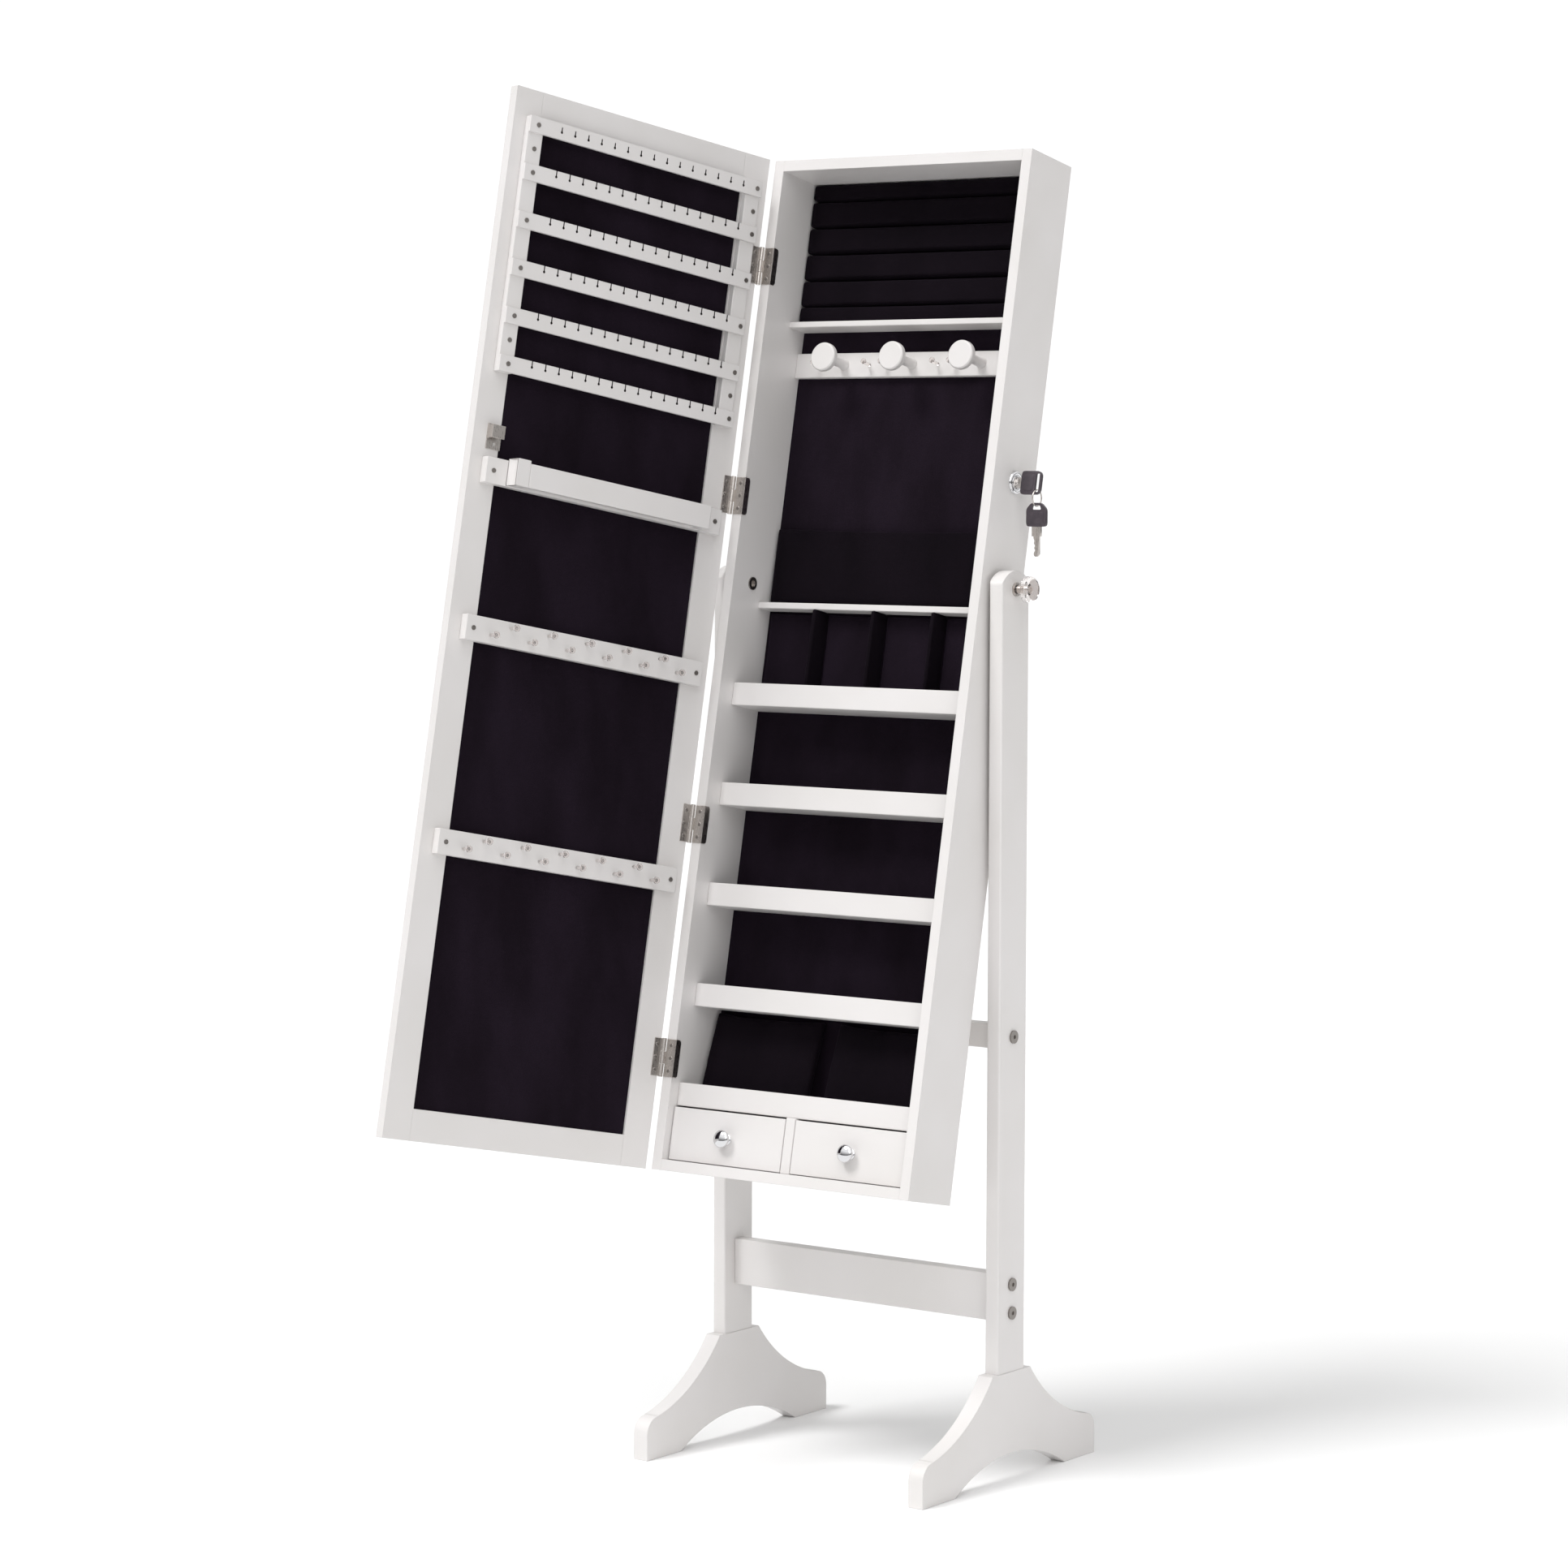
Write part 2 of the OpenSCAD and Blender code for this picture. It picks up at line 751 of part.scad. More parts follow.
// small clear hooks in pairs between the round knobs
module chain_hooks() {
  color("lightcyan")
    in_cabinet()
      for (k = [-1.5, -0.5, 0.5, 1.5], s = [-1, 1])
        if (abs(k * disc_step + s * 12) < in_x - 12)
          translate([k * disc_step + s * 12, hook_face, disc_z - 0.5]) {
            bar_y(4, -12, 0);
            translate([0, -12, 1.5])
              bar_y(7, -2, 0);
          }
}

// a flat velvet pocket, open at the top
module pocket() {
  color("black")
    in_cabinet()
      difference() {
        box([-in_x, lining_y - pocket_room - pocket_t, -thin_z_2 + thin_t + 0.5], [in_x, lining_y, pocket_z]);
        box([-in_x + pocket_t, lining_y - pocket_room, -thin_z_2 + thin_t + 0.5 + pocket_t], [in_x - pocket_t, lining_y + 1, pocket_z + 1]);
      }
}

module compartment_dividers() {
  color("black")
    in_cabinet()
      for (k = [-1:1])
        translate([k * in_w / 4, 0, 0])
          box([-divider_t / 2, cab_y0 + divider_back, row_z0 - lip_h + shelf_t], [divider_t / 2, lining_y, row_z1]);
}

module compartment_pads() {
  color("black")
    in_cabinet()
      for (k = [-1.5, -0.5, 0.5, 1.5])
        translate([k * in_w / 4, 0, 0])
          box([-in_w / 8 + divider_t / 2 + 1, lining_y - pad_t, row_z0 - lip_h + shelf_t + 1],
            [in_w / 8 - divider_t / 2 - 1, lining_y, row_z1 - 1]);
}

// two slanted cushions side by side, the top against the back
module earring_cushions() {
  color("black")
    in_cabinet()
      both()
        translate([cushion_gap / 2, lining_y - 0.3, cushion_top - 2.4])
          rotate([-cushion_slant, 0, 0])
            box([0, -cushion_t, -cushion_len], [cushion_w - 0.5, 0, 0]);
}

module pivot_inserts() {
  color("silver")
    in_cabinet()
      both()
        difference() {
          union() {
            bar_x(13, in_x, cab_w / 2);
            bar_x(insert_d + 6, in_x - 1.5, in_x);
          }
          bar_x(stud_d + 2 * stud_clear, in_x - 3, cab_w / 2 + 1);
        }
}

// ---- hinges ----

// leaf on the cabinet's front edge, bent round on to the inside of its side
module cabinet_leaf() {
  difference() {
    union() {
      box([-hinge_out, cab_y0 - leaf_t, -hinge_h / 2], [board_t + leaf_t, cab_y0, hinge_h / 2]);
      hull() {
        box([board_t, cab_y0 - leaf_t, -hinge_h / 2], [board_t + leaf_t, cab_y0 + 1, hinge_h / 2]);
        for (s = [-1, 1])
          translate([0, cab_y0 + leaf_wrap - 4, s * (hinge_h / 2 - 4)])
            bar_x(8, board_t, board_t + leaf_t);
      }
      intersection() {
        translate([-hinge_out, hinge_y, -hinge_h / 2])
          cylinder(d = knuckle_d, h = hinge_h, $fn = 48);
        box([-20, hinge_y - 10, -hinge_h / 6 + 0.15], [20, hinge_y + 10, hinge_h / 6 - 0.15]);
      }
    }
    for (s = [-1, 1])
      box([-hinge_out - 6, hinge_y - 6, s > 0 ? hinge_h / 6 - 0.15 : -hinge_h / 2 - 1],
        [0.6, cab_y0 + 1, s > 0 ? hinge_h / 2 + 1 : -hinge_h / 6 + 0.15]);
    translate([-hinge_out, hinge_y, -hinge_h])
      cylinder(d = pin_d, h = 2 * hinge_h, $fn = 32);
  }
}

module cabinet_hinge_leaves() {
  color("silver")
    in_cabinet()
      for (z = hinge_zs)
        translate([-cab_w / 2, 0, z])
          cabinet_leaf();
}

module hinge_pins() {
  color("silver")
    in_cabinet()
      for (z = hinge_zs)
        translate([hinge_x, hinge_y, z - hinge_h / 2 - 0.6]) {
          cylinder(d = pin_d, h = hinge_h + 1.2, $fn = 32);
          cylinder(d = knuckle_d, h = 0.5, $fn = 32);
          translate([0, 0, hinge_h + 0.7])
            cylinder(d = knuckle_d, h = 0.5, $fn = 32);
        }
}

module door_leaf() {
  difference() {
    union() {
      box([0, door_v1, -hinge_h / 2], [13, door_v1 + leaf_t, hinge_h / 2]);
      for (s = [-1, 1])
        intersection() {
          translate([0, 0, -hinge_h / 2])
            cylinder(d = knuckle_d, h = hinge_h, $fn = 48);
          box([-20, -10, s > 0 ? hinge_h / 6 + 0.15 : -hinge_h / 2], [20, 10, s > 0 ? hinge_h / 2 : -hinge_h / 6 - 0.15]);
        }
    }
    box([-6, -6, -hinge_h / 6 - 0.15], [knuckle_d / 2 + 0.4, 6, hinge_h / 6 + 0.15]);
    translate([0, 0, -hinge_h])
      cylinder(r = pin_d / 2 + pin_clear, h = 2 * hinge_h, $fn = 32);
  }
}

module door_hinge_leaves() {
  color("silver")
    in_door()
      for (z = hinge_zs)
        translate([0, 0, z])
          door_leaf();
}

// ---- door ----

module door_stiles() {
  color("white")
    in_door() {
      for (u = [door_u0, open_u1])
        difference() {
          box([u, door_v0, door_z0], [u + frame_w, door_v1, door_z1]);
          // rebate that holds the glass and the panel from behind
          box([open_u0 - 6, mirror_v0, open_z0 - 6], [open_u1 + 6, panel_v1, open_z1 + 6]);
        }
    }
}

module door_rails() {
  color("white")
    in_door() {
      for (z = [door_z0, open_z1])
        difference() {
          box([open_u0, door_v0, z], [open_u1, door_v1, z + frame_h]);
          box([open_u0 - 6, mirror_v0, open_z0 - 6], [open_u1 + 6, panel_v1, open_z1 + 6]);
        }
    }
}

module mirror_glass() {
  color("lightblue")
    in_door()
      box([open_u0 - 5.5, mirror_v0, open_z0 - 5.5], [open_u1 + 5.5, mirror_v1, open_z1 + 5.5]);
}

module door_panel() {
  color("black")
    in_door()
      box([open_u0 - 6, mirror_v1, open_z0 - 6], [open_u1 + 6, panel_v1, open_z1 + 6]);
}

// ---- door fittings ----

module rack_uprights() {
  color("white")
    in_door()
      for (u = [rail_u0, rail_u1 - rack_stile_w])
        box([u, door_v1, rack_zs[5]], [u + rack_stile_w, rail_v1 - rack_bar_t, rack_z]);
}

// a slit with a round end
module keyhole(z, top) {
  translate([-0.7, rail_v1 - rack_bar_t - 1, z])
    cube([1.4, rack_bar_t + 2, top]);
  translate([0, rail_v1 - rack_bar_t - 1, z])
    rotate([-90, 0, 0])
      cylinder(d = 3, h = rack_bar_t + 2, $fn = 24);
}

module rack_bars() {
  color("white")
    in_door()
      for (k = [0:5])
        difference() {
          box([rail_u0, rail_v1 - rack_bar_t, rack_zs[k]], [rail_u1, rail_v1, rack_zs[k] + rack_bar_h]);
          for (u = notch_us)
            translate([u, 0, 0])
              if (k == 0)
                keyhole(rack_zs[k] + rack_bar_h - 10.5, 6);
              else
                keyhole(rack_zs[k] + rack_bar_h - 7, 8);
        }
}

module bracelet_board() {
  color("white")
    in_door()
      box([rail_u0, door_v1, bracelet_z], [rail_u1, rail_v1, bracelet_z + bracelet_h]);
}

block_v1 = door_v1 + bracelet_out;
block_u = door_mid - 136.5;

// end blocks with a hollowed outer side
module bracelet_blocks() {
  color("white")
    in_door() {
      difference() {
        box([door_mid + 118.5, rail_v1, bracelet_z + 1], [door_mid + 136.5, block_v1, bracelet_z + bracelet_h + 2]);
        translate([door_mid + 136.5 + 18, (rail_v1 + block_v1) / 2, bracelet_z])
          cylinder(r = 20.5, h = 80, center = true, $fn = 96);
      }
      box([block_u, rail_v1, bracelet_z + 1], [block_u + 14, block_v1 - 7, bracelet_z + bracelet_h - 1]);
    }
}

module bracelet_bar() {
  color("white")
    in_door()
      box([block_u, block_v1 - 7, bracelet_z + 1], [door_mid + 118.5, block_v1, bracelet_z + bracelet_h - 1.5]);
}

module peg_rails() {
  color("white")
    in_door()
      for (z = [-peg_z_1, -peg_z_2])
        box([rail_u0, door_v1, z - peg_rail_h], [rail_u1, rail_v1, z]);
}

module pegs() {
  color("lightcyan")
    in_door()
      for (z = [-peg_z_1, -peg_z_2]) {
        for (u = upper_pegs)
          translate([u, rail_v1, z - 7])
            one_peg();
        for (u = lower_pegs)
          translate([u, rail_v1, z - 19])
            one_peg();
      }
}

module one_peg() {
  bar_y(peg_d - 2, 0, peg_len - 2);
  bar_y(peg_d + 2, peg_len - 2, peg_len);
}

// bracket that the lock's cam hooks behind
module strike() {
  color("silver")
    in_door()
      difference() {
        union() {
          box([strike_u1 - 19, door_v1, strike_z - 12], [strike_u1, door_v1 + 1.5, strike_z + 17]);
          box([strike_u1 - 2, door_v1, strike_z], [strike_u1, door_v1 + 12, strike_z + 15]);
          box([strike_u1 - 17, door_v1 + 10, strike_z], [strike_u1, door_v1 + 12, strike_z + 15]);
        }
        translate([strike_u1 - 11, 0, strike_z - 6])
          bar_y(4, door_v1 - 1, door_v1 + 3);
      }
}

// ---- lock ----

module lock_body() {
  color("silver")
    in_lock()
      difference() {
        union() {
          bar_x(lock_body_d, in_x - 6, lock_x);
          translate([lock_x, 0, 0])
            rotate([0, 90, 0])
              rotate_extrude($fn = 64)
                polygon([[0, 0], [lock_plate_d / 2, 0], [lock_plate_d / 2 - 0.8, plate_t * 0.6],
                  [lock_body_d / 2 - 1, plate_t], [0, plate_t]]);
        }
        bar_x(plug_d + 2 * plug_clear, in_x - 8, lock_x + plate_t + 1);
      }
}

module lock_plug() {
  color("silver")
    in_lock()
      difference() {
        union() {
          bar_x(plug_d, in_x - 12, lock_x + plate_t - 0.3);
        }
        box([lock_x - 15, -1.3, -4.2], [lock_x + plate_t + 1, 1.3, 4.2]);
      }
}

// hooked cam, standing up when unlocked
module lock_cam() {
  color("silver")
    in_lock()
      rotate([-90, 0, 0])
        intersection() {
          union() {
            bar_x(16, cam_x, cam_x + 2);
            box([cam_x, -44, -5], [cam_x + 2, 0, 5]);
            difference() {
              bar_x(2 * cam_reach, cam_x, cam_x + 2);
              bar_x(2 * cam_reach - 8, cam_x - 1, cam_x + 3);
              box([cam_x - 1, -60, 0], [cam_x + 3, 60, 60]);
              box([cam_x - 1, 0, -60], [cam_x + 3, 60, 60]);
              rotate([-22, 0, 0])
                box([cam_x - 1, -60, -60], [cam_x + 3, 60, 0]);
              rotate([22, 0, 0])
                box([cam_x - 1, -60, -60], [cam_x + 3, 60, 0]);
            }
          }
          bar_x(2 * cam_reach, cam_x - 1, cam_x + 3);
        }
}

// flat key along X with its shoulder at the origin, bow outwards
// a key along X with its bow's end at zero; the blade has a wide collar next to the bow
module key_shape(collar, blade) {
  difference() {
    union() {
      translate([bow_w / 2, 0, 0])
        rotate([90, 0, 0])
          translate([0, 0, -bow_t / 2])
            linear_extrude(height = bow_t)
              rounded_plan(bow_w, bow_w, 6);
    }
    translate([bow_w - 5.2, 0, 0])
      rotate([90, 0, 0])
        translate([0, 0, -5])
          linear_extrude(height = 10)
            rounded_plan(5, bow_w - 6.4, 2.4);
  }
  box([-collar, -1.1, -6.2], [2, 1.1, 6.2]);
  box([-collar - blade, -1.1, -4], [0, 1.1, 4]);
}

module key() {
  color("dimgray")
    in_lock()
      translate([bow_x0, 0, 0])
        key_shape(bow_x0 - lock_x - plate_t - 0.5, plate_t + 15);
}

// the band of plastic between the slot and the end of a bow
bow_band = 2.7;
hang_clear = 0.3;
// where the wire of the key ring lies in the key's slot, in the cabinet's frame
ring_y = lock_y * cos(rest_tilt) + (lock_z + slot_z + 2.2) * sin(rest_tilt);
ring_z = pivot_z - lock_y * sin(rest_tilt) + (lock_z + slot_z + 2.2) * cos(rest_tilt);

module key_ring() {
  color("silver") placed()
    translate([slot_x, ring_y, ring_z - key_ring_d / 2 + key_wire_d / 2])
      rotate([0, 90, 0])
        rotate_extrude($fn = 64)
          translate([key_ring_d / 2 - key_wire_d / 2, 0])
            circle(d = key_wire_d, $fn = 20);
}

module spare_key() {
  color("dimgray") placed()
    translate([slot_x, ring_y, ring_z - key_ring_d + 1.5 * key_wire_d + hang_clear + bow_band - bow_w])
      rotate([0, -90, 0])
        key_shape(11, 23);
}

// ---- drawers ----

module drawer_at(s) {
  in_cabinet()
    translate([s * drawer_x, 0, 0]) {
      difference() {
        union() {
          box([-drawer_w / 2, drawer_y0, front_z0], [drawer_w / 2, drawer_y0 + drawer_front_t, front_z0 + front_h]);
          box([-drawer_w / 2 + 1, drawer_y0 + 1, front_z0], [drawer_w / 2 - 1, drawer_y1, front_z0 + front_h - 8]);
        }
        box([-drawer_w / 2 + 1 + drawer_wall, drawer_y0 + drawer_front_t, front_z0 + drawer_wall],
          [drawer_w / 2 - 1 - drawer_wall, drawer_y1 - drawer_wall, front_z0 + front_h]);
      }
    }
}

module drawer_pull_at(s) {
  in_cabinet()
    translate([s * drawer_x, drawer_y0, front_z0 + front_h / 2 - 0.5])
      rotate([90, 0, 0])
        rotate_extrude($fn = 64)
          polygon([[0, 0], [7, 0], [7, 1.5], [4, 3], [4, pull_out - 10], [pull_d / 2 - 2, pull_out - 8],
            [pull_d / 2, pull_out - 5.5], [pull_d / 2 - 1, pull_out - 3], [pull_d / 2 - 3.5, pull_out - 1],
            [pull_d / 2 - 7, pull_out], [0, pull_out]]);
}

module drawer_left() {
  color("white") drawer_at(-1);
}

module drawer_right() {
  color("white") drawer_at(1);
}

module drawer_pull_left() {
  color("silver") drawer_pull_at(-1);
}

module drawer_pull_right() {
  color("silver") drawer_pull_at(1);
}

// ---- screws on the door ----

module screw_head(d, u, v, z) {
  translate([u, v, z])
    rotate([-90, 0, 0])
      difference() {
        cylinder(d = d, h = 0.8, $fn = 32);
        for (a = [0, 90])
          rotate([0, 0, a])
            translate([-d / 3, -0.4, 0.4])
              cube([2 * d / 3, 0.8, 1]);
      }
}

module fitting_screws() {
  color("gray")
    in_door() {
      for (k = [0:5], u = [rail_u0 + 7, rail_u1 - 11])
        screw_head(5.5, u, rail_v1, rack_zs[k] + rack_bar_h / 2);
      for (z = [rack_zs[0] - 18, rack_zs[4] - 18], u = [rail_u0 + 7, rail_u1 - 11])
        screw_head(5.5, u, rail_v1 - rack_bar_t, z);
      for (z = [bracelet_z + bracelet_h / 2, -peg_z_1 - peg_rail_h / 2, -peg_z_2 - peg_rail_h / 2], u = [rail_u0 + 9, rail_u1 - 10])
        screw_head(5.5, u, rail_v1, z);
    }
}

upright_left();
upright_right();
foot_left();
foot_right();
lower_stretcher();
upper_stretcher();
stand_bolts();
foot_dowels();
pivot_spacers();
tilt_knob_left();
tilt_stud_left();
tilt_washer_left();
tilt_knob_right();
tilt_stud_right();
tilt_washer_right();
cabinet_side_left();
cabinet_side_right();
cabinet_top();
cabinet_bottom();
back_panel();
back_lining();
ring_cushion();
thin_shelves();
shelf_boards();
shelf_lips();
drawer_divider();
hook_rail();
round_knobs();
chain_hooks();
pocket();
compartment_dividers();
compartment_pads();
earring_cushions();
pivot_inserts();
cabinet_hinge_leaves();
hinge_pins();
lock_body();
lock_plug();
lock_cam();
key();
key_ring();
spare_key();
door_stiles();
door_rails();
mirror_glass();
door_panel();
door_hinge_leaves();
rack_uprights();
rack_bars();
bracelet_board();
bracelet_blocks();
bracelet_bar();
peg_rails();
pegs();
strike();
drawer_left();
drawer_pull_left();
drawer_right();
drawer_pull_right();
fitting_screws();
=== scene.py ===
# %% [markdown]
# # A cheval floor mirror with a jewellery cabinet behind its glass
#
# The real thing is a shallow white cabinet that tilts between two uprights. Its door carries
# the looking glass outside and a set of racks inside, and every flat that jewellery can touch
# is covered with black velvet. The hard parts come from an exact model, so this lesson is about
# finishes, about soft parts, and about the small turned and moulded parts that give it life.

# %% Load the exact model
import json
import math

import bpy
from mathutils import Matrix, Vector


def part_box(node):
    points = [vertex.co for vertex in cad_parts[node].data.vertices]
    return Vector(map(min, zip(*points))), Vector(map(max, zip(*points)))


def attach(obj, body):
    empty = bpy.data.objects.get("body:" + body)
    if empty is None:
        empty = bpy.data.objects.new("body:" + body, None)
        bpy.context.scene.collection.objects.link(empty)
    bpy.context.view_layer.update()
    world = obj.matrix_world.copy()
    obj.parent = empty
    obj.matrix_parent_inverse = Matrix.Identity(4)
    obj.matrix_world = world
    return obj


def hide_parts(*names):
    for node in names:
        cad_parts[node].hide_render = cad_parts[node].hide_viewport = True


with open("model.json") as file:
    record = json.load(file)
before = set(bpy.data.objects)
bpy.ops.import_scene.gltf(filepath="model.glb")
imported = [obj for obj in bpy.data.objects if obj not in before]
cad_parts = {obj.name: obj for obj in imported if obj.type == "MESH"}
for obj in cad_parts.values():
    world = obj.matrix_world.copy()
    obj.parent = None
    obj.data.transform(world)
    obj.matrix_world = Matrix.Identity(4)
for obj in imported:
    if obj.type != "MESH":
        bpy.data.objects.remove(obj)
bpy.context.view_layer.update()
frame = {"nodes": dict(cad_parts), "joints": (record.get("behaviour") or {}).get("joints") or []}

MM = 0.001

# %% [markdown]
# The cabinet leans back and the door stands open, so nothing on them is square to the floor.
# It is far easier to model a cushion lying straight and to lean it afterwards. The joints of the
# exact model say where the tilt axis and the hinge pins are, and two matrices follow from them.

# %% The cabinet's and the door's own frames
joints = {joint["name"]: joint for joint in frame["joints"]}
tilt_axis = Vector(joints["cabinet_tilt"]["pos_m"])
pin_down = Vector(joints["door_swing"]["axis"])
lean = math.atan2(-pin_down.y, -pin_down.z)
cabinet_place = Matrix.Translation(tilt_axis) @ Matrix.Rotation(-lean, 4, "X")

door_angle = math.radians(106.9)
pins = cabinet_place.inverted() @ Vector(joints["door_swing"]["pos_m"])
door_place = (cabinet_place @ Matrix.Translation((pins.x, pins.y, 0))
              @ Matrix.Rotation(-door_angle, 4, "Z"))
print("lean in degrees:", round(math.degrees(lean), 2))
print("pins from the tilt axis, mm:", [round(x / MM, 1) for x in pins])


# %% [markdown]
# ## Camera
# A tall mirror is best seen from far off through a long lens, so that its uprights stay nearly
# parallel. The camera stands not quite five metres away, level with the upper third of the
# mirror, and the small shift keeps the whole stand in the frame.

# %% Camera
camera_data = bpy.data.cameras.new("camera")
camera_data.lens = 98.554
camera_data.sensor_width = 36
camera_data.shift_x = -0.00331
camera_data.shift_y = -0.00452
camera_data.clip_end = 60
camera = bpy.data.objects.new("camera", camera_data)
camera.location = (2.91505, -3.89107, 1.15765)
camera.rotation_euler = (1.498972, -0.002587, 0.634837)
bpy.context.scene.collection.objects.link(camera)
bpy.context.scene.camera = camera


# %% [markdown]
# ## Studio
# White furniture on white needs light from everywhere, and one side a little stronger, or its
# boards melt into each other. A pale world gives the soft fill, and three far lamps do the rest:
# the key stands high on the left front and drops a soft shadow to the right, a wide lamp from
# above brightens the leaning fronts, and a weak one on the right reaches the inner walls. Polished
# metal would look like white paint in such a room, so what shiny surfaces mirror of the world is
# darker near the horizon, as a real studio is. The floor is a plain pale sweep.

# %% Floor and light
def deselect():
    """Leaves nothing selected, so that the next operator sees only its own piece."""
    bpy.ops.object.select_all(action="DESELECT")


def linear(code):
    """Turns an sRGB hex colour into the linear colour that a shader takes."""
    parts = [int(code[i:i + 2], 16) / 255 for i in (1, 3, 5)]
    return tuple(c / 12.92 if c <= 0.04045 else ((c + 0.055) / 1.055) ** 2.4 for c in parts) + (1,)


def add(tree, kind, settings=(), links=()):
    """Adds one node; settings go to its sockets or options, and links feed its sockets."""
    node = tree.nodes.new(kind)
    for key, value in dict(settings).items():
        if isinstance(key, int) or key in node.inputs:
            node.inputs[key].default_value = value
        else:
            setattr(node, key, value)
    for key, source in dict(links).items():
        tree.links.new(source, node.inputs[key])
    return node


def new_material(name, settings):
    """A material with one Principled shader, whose constant values sit on its own sockets."""
    material = bpy.data.materials.new(name)
    material.use_nodes = True
    tree = material.node_tree
    tree.nodes.clear()
    surface = add(tree, "ShaderNodeBsdfPrincipled", settings)
    add(tree, "ShaderNodeOutputMaterial", (), {"Surface": surface.outputs[0]})
    return material, tree, surface


DULL = 0.46          # what the sky gives to matt surfaces
world = bpy.data.worlds.new("studio")
world.use_nodes = True
sky = world.node_tree.nodes["Background"]
sky.inputs["Color"].default_value = linear("#FFFFFF")
rays = add(world.node_tree, "ShaderNodeLightPath").outputs
way = add(world.node_tree, "ShaderNodeTexCoord").outputs["Generated"]
height = add(world.node_tree, "ShaderNodeSeparateXYZ", (), {0: way}).outputs["Z"]
mirrored = add(world.node_tree, "ShaderNodeMapRange",
               {"From Min": 0.04, "From Max": 0.42, "To Min": 0.14, "To Max": 1.1},
               {0: height}).outputs[0]
strength = mirrored
# for each kind of ray, what the sky gives to all others and what it gives to this one;
# None stands for the strength so far
KINDS = (("Is Glossy Ray", DULL, None),
         ("Is Transmission Ray", None, 0.9),
         ("Is Camera Ray", None, 1.05))
for ray, others, this_one in KINDS:
    mix = add(world.node_tree, "ShaderNodeMix", (), {0: rays[ray]})
    for socket, value in ((2, others), (3, this_one)):
        if value is None:
            world.node_tree.links.new(strength, mix.inputs[socket])
        else:
            mix.inputs[socket].default_value = value
    strength = mix.outputs[0]
world.node_tree.links.new(strength, sky.inputs["Strength"])
bpy.context.scene.world = world
bpy.context.scene.view_settings.view_transform = "Standard"


def soft_sun(name, toward, strength, spread):
    """A far lamp in the direction given; spread, in degrees, is how wide it looks."""
    data = bpy.data.lights.new(name, "SUN")
    data.energy, data.angle = strength, math.radians(spread)
    lamp = bpy.data.objects.new(name, data)
    lamp.rotation_euler = Vector(toward).to_track_quat("Z", "Y").to_euler()
    bpy.context.scene.collection.objects.link(lamp)


soft_sun("key", (-0.233, -0.524, 0.819), 1.75, 24)
soft_sun("top", (0.30, -0.25, 0.92), 0.55, 40)
soft_sun("fill", (0.60, -0.60, 0.50), 0.40, 30)

# %% [markdown]
# ## Finishes
# Each finish starts from what the real one is. A pattern is scaled from a size in millimetres, so
# one helper turns that size into the scale of a noise texture, which repeats about once a unit.

# %% Helpers for patterns
def spots(tree, millimetres, stretch=(1, 1, 1), turn=(0, 0, 0), detail=2.0):
    """A noise whose spots are about so many millimetres wide, on the piece's own coordinates."""
    where = add(tree, "ShaderNodeTexCoord").outputs["Object"]
    turned = add(tree, "ShaderNodeMapping", {"Scale": stretch, "Rotation": turn}, {"Vector": where})
    return add(tree, "ShaderNodeTexNoise", {"Scale": 1 / (millimetres * MM), "Detail": detail},
               {"Vector": turned.outputs[0]}).outputs["Fac"]


def between(tree, factor, low, high, start=0.35, end=0.65):
    """Stretches the useful middle of a noise to run from low to high."""
    return add(tree, "ShaderNodeMapRange",
               {"From Min": start, "From Max": end, "To Min": low, "To Max": high},
               {"Value": factor}).outputs[0]


def two_colours(tree, factor, first, second):
    """Goes from one colour to the other as the noise does."""
    return add(tree, "ShaderNodeMix", {"data_type": "RGBA", 6: linear(first), 7: linear(second)},
               {0: between(tree, factor, 0, 1)}).outputs[2]


def dents(tree, surface, height, millimetres, strength=1.0, rounding=None):
    """Bumps the surface by so many millimetres, over normals that may round the edges first."""
    links = {"Height": height}
    if rounding:
        round_edges = add(tree, "ShaderNodeBevel", {"samples": 4, "Radius": rounding * MM})
        links["Normal"] = round_edges.outputs[0]
    bump = add(tree, "ShaderNodeBump", {"Distance": millimetres * MM, "Strength": strength}, links)
    tree.links.new(bump.outputs[0], surface.inputs["Normal"])


floor_paper, tree, surface = new_material("studio_paper", {
    "Roughness": 0.9, "Specular IOR Level": 0.1})
tree.links.new(two_colours(tree, spots(tree, 400), "#FEFEFE", "#FCFCFC"), surface.inputs["Base Color"])

deselect()
bpy.ops.mesh.primitive_plane_add(size=24, location=(0, 0, 0))
floor = bpy.context.object
floor.name = "floor"
floor.data.materials.append(floor_paper)

# %% [markdown]
# ### White lacquer on fibreboard
# The boards are medium-density fibreboard, sprayed with a satin white lacquer. Spray dries with a
# faint orange peel a few millimetres wide, and its gloss wanders a little. The edges were sanded
# before spraying, so they catch the light as a thin soft line.

# %% White lacquer
def lacquer(name, light, shade, peel, peel_depth):
    """Satin sprayed lacquer; peel is the width of its orange peel in millimetres."""
    material, tree, surface = new_material(name, {
        "IOR": 1.5, "Coat Weight": 0.15, "Coat Roughness": 0.2})
    tree.links.new(two_colours(tree, spots(tree, 140), light, shade), surface.inputs["Base Color"])
    tree.links.new(between(tree, spots(tree, 30), 0.34, 0.44), surface.inputs["Roughness"])
    dents(tree, surface, spots(tree, peel, detail=3.0), peel_depth, rounding=1.0)
    return material


white_lacquer = lacquer("satin_lacquer_on_mdf", "#E4E1E0", "#E0DDDB", 3.5, 0.035)
board_back = lacquer("lacquered_hardboard", "#E0DDD9", "#DAD6D1", 1.8, 0.06)


